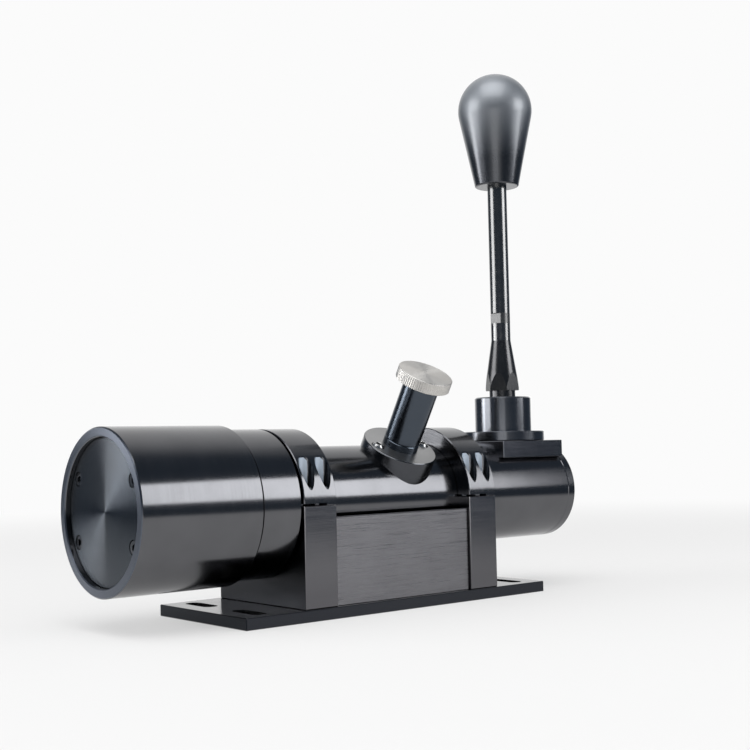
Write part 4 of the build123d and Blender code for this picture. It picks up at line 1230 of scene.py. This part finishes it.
@dataclass
class Studio:
    """Camera, floor, lamps and world."""

    camera_place: Place = (-0.4429163, -0.5402185, 0.0876805)
    camera_heading: float = 40.152
    camera_rise: float = 3.2328
    camera_roll: float = -1.2062
    lens: float = 59.571
    sensor: float = 36.0
    clip_start: float = 0.01
    clip_end: float = 100.0
    ambient: float = 0.45
    backdrop: Colour = (1.0, 1.0, 1.0)
    paper: Colour = (0.965, 0.965, 0.965)
    gloom: Colour = (0.085, 0.112, 0.150)
    facing: Place = (0.6449, 0.7643, 0.0)
    rightward: Place = (0.7643, -0.6449, 0.0)
    behind_span: tuple[float, float] = (0.72, 0.94)
    over_and_behind: Place = (0.516, 0.611, 0.6)
    above_span: tuple[float, float] = (0.60, 1.0)
    floor_glow: float = 0.475
    # The base plate's footprint, where the floor carries a painted shadow, and that shadow's tone
    footprint: Place = (105.6 * MM, 40.5 * MM, FAR)
    footprint_blur: float = 2.0 * MM
    plate_shadow_tone: float = 0.05
    plain_tone: float = 0.9
    floor_size: float = 20.0
    floor_tone: float = 0.33
    fade_start: float = 0.35
    fade_end: float = 1.25
    paper_right: float = 0.42
    paper_left: float = -0.62
    paper_edge: float = 0.08
    lamps: tuple[Softbox, ...] = (
        Softbox("right_softbox", (0.656, -0.932, 0.485), (-0.185, -0.217, 0.30), 0.63, 0.56, 4.9, roll=-11.0),
        Softbox("left_softbox", (-1.90, 1.00, 0.76), (0.0, 0.0, 0.40), 1.44, 1.36, 4.4),
        Softbox("back_left_card", (-0.80, 0.86, 0.205), (0.016, -0.03, 0.10), 0.34, 0.14, 8.0),
        Softbox("front_softbox", (-0.42, -0.38, 1.43), (0.116, 0.0, 0.30), 1.40, 1.30, 2.9),
        Softbox("low_front_card", (-0.78, -0.76, 0.065), (0.0, 0.0, 0.08), 0.50, 0.11, 1.5),
    )
    sky_direction: Place = (-0.25, 0.25, 0.93)
    sky_strength: float = 0.35
    sky_angle: float = 60.0

    def build(self) -> None:
        """Set up everything round the object."""
        bpy.context.scene.view_settings.view_transform = "Standard"
        self.place_camera()
        self.lay_floor()
        self.paint_world()
        for lamp in self.lamps:
            lamp.build()
        self.hang_sky()

    def place_camera(self) -> None:
        """Put the camera where the photograph was taken."""
        camera = placed("camera", bpy.data.cameras.new("camera"))
        camera.data.lens = self.lens
        camera.data.sensor_width = self.sensor
        camera.data.clip_start, camera.data.clip_end = self.clip_start, self.clip_end
        camera.matrix_world = (
            Matrix.Translation(self.camera_place)
            @ Matrix.Rotation(math.radians(-self.camera_heading), 4, "Z")
            @ Matrix.Rotation(math.radians(90 + self.camera_rise), 4, "X")
            @ Matrix.Rotation(math.radians(self.camera_roll), 4, "Z")
        )
        bpy.context.scene.camera = camera

    def lay_floor(self) -> None:
        """Lay a wide pale floor that keeps the shadow, like a roll of paper, with a painted shadow under the base
        plate.
        """
        mesh = bmesh.new()
        bmesh.ops.create_grid(mesh, x_segments=1, y_segments=1, size=self.floor_size)
        floor = new_piece("studio_floor", mesh)
        material = bpy.data.materials.new("studio_floor")
        material.use_nodes = True
        work = Tree(material.node_tree)
        place = work.node("ShaderNodeTexCoord").outputs["Object"]
        plain = work.light("ShaderNodeBsdfDiffuse", (self.plain_tone,) * 3)
        soft = work.light("ShaderNodeBsdfDiffuse", (self.floor_tone,) * 3)
        glow = work.light("ShaderNodeEmission", (1, 1, 1), self.floor_glow)
        white = work.light("ShaderNodeEmission", self.paper)
        room = work.light("ShaderNodeEmission", self.gloom)
        lit = work.joined("ShaderNodeAddShader", soft, glow)
        behind = work.ramp(work.along(place, self.facing), self.fade_start, self.fade_end)
        far = work.ramp(work.vector("LENGTH", place), self.fade_start, self.fade_end)
        far = work.joined("ShaderNodeMath", far, work.ray("Is Camera Ray"), operation="MULTIPLY")
        lit = work.mix(work.greatest(behind, far), lit, white)
        side = work.along(place, self.rightward)
        right = work.ramp(side, self.paper_right - self.paper_edge, self.paper_right + self.paper_edge)
        left = work.ramp(side, self.paper_left - self.paper_edge, self.paper_left + self.paper_edge, low=1, high=0)
        paper = work.mix(work.greatest(right, left), lit, room)
        seen = work.mix(work.mirrored(), lit, paper)
        direct = work.greatest(work.mirrored(), work.ray("Is Camera Ray"))
        # Painted shadow: the floor under the base plate turned near-black for every ray
        plate_shadow = work.ramp(work.outside(place, self.footprint), -self.footprint_blur, 0.0, low=1, high=0)
        shaded = work.light("ShaderNodeBsdfDiffuse", (self.plate_shadow_tone,) * 3)
        output = work.node("ShaderNodeOutputMaterial")
        work.link(work.mix(plate_shadow, work.mix(direct, plain, seen), shaded), output.inputs["Surface"])
        floor.data.materials.append(material)

    def paint_world(self) -> None:
        """White behind the object, a pale backdrop and a dark room in mirrors."""
        world = bpy.data.worlds.new("studio")
        bpy.context.scene.world = world
        world.use_nodes = True
        work = Tree(world.node_tree)
        direction = work.node("ShaderNodeTexCoord").outputs["Generated"]
        behind = work.ramp(work.along(direction, self.facing), *self.behind_span)
        above = work.ramp(work.along(direction, self.over_and_behind), *self.above_span)
        room = work.light("ShaderNodeBackground", (1, 1, 1), self.ambient)
        dark = work.light("ShaderNodeBackground", self.gloom)
        pale = work.light("ShaderNodeBackground", self.backdrop)
        white = work.light("ShaderNodeBackground", self.paper)
        backdrop = work.mix(work.greatest(behind, above), dark, pale)
        unseen = work.mix(work.mirrored(), room, backdrop)
        output = work.node("ShaderNodeOutputWorld")
        work.link(work.mix(work.ray("Is Camera Ray"), unseen, white), output.inputs["Surface"])

    def hang_sky(self) -> None:
        """One wide soft light from above that draws the floor's shadow."""
        lamp = bpy.data.lights.new("overhead_silk", "SUN")
        lamp.energy = self.sky_strength
        lamp.angle = math.radians(self.sky_angle)
        obj = placed("overhead_silk", lamp)
        obj.rotation_euler = (-Vector(self.sky_direction)).to_track_quat("-Z", "Y").to_euler()
        obj.visible_camera = False
        obj.visible_glossy = False


def dress_by_slot(paint: Paint) -> None:
    """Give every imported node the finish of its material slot."""
    for part in frame["record"]["subparts"]:
        paint.coat(frame["nodes"][part["node"]], SLOT_FINISHES[part["material_slot"]])


def main() -> None:
    """Build the studio, then each sub-assembly in order."""
    Studio().build()
    paint = Paint()
    dress_by_slot(paint)
    assemblies = (
        ClampedBase(paint, {
            "base_plate": BASE_BLACK, "front_pedestal": PEDESTAL_BLACK, "rear_pedestal": PEDESTAL_BLACK,
            "front_clamp_cap": clamp_cap("anodised_front_cap", -ClampedBase.pedestal_x),
            "rear_clamp_cap": clamp_cap("anodised_rear_cap", ClampedBase.pedestal_x),
            "near_side_plate": PLATE_BLACK, "far_side_plate": PLATE_BLACK,
        }),
        TubeAndHousing(paint, {
            "main_tube": TURNED_BLACK, "adapter_ring": SHADOW_LINED_BLACK, "front_housing": RIMMED_BLACK,
            "front_cover": FACED_BLACK, "rear_end_cap": TURNED_BLACK,
        }),
        SelectorTrain(paint),
        LeverPivot(paint, {
            "lever_saddle": MILLED_BLACK, "pivot_housing": LEVER_BLACK, "seat_ring": LEVER_BLACK,
            "pivot_ball": LEVER_STEEL, "lever_stem": LEVER_STEEL,
        }),
        SubAssembly(paint, {"lever_hub": HUB_BLACK, "lever_rod": GLOSS_BLACK, "shift_knob": KNOB_BLACK}),
        DragAdjuster(paint, {"drag_saddle": SADDLE_BLACK, "drag_tower": TOWER_BLACK}),
    )
    for assembly in assemblies:
        assembly.dress()
        assembly.build()


if __name__ == "__main__":
    main()
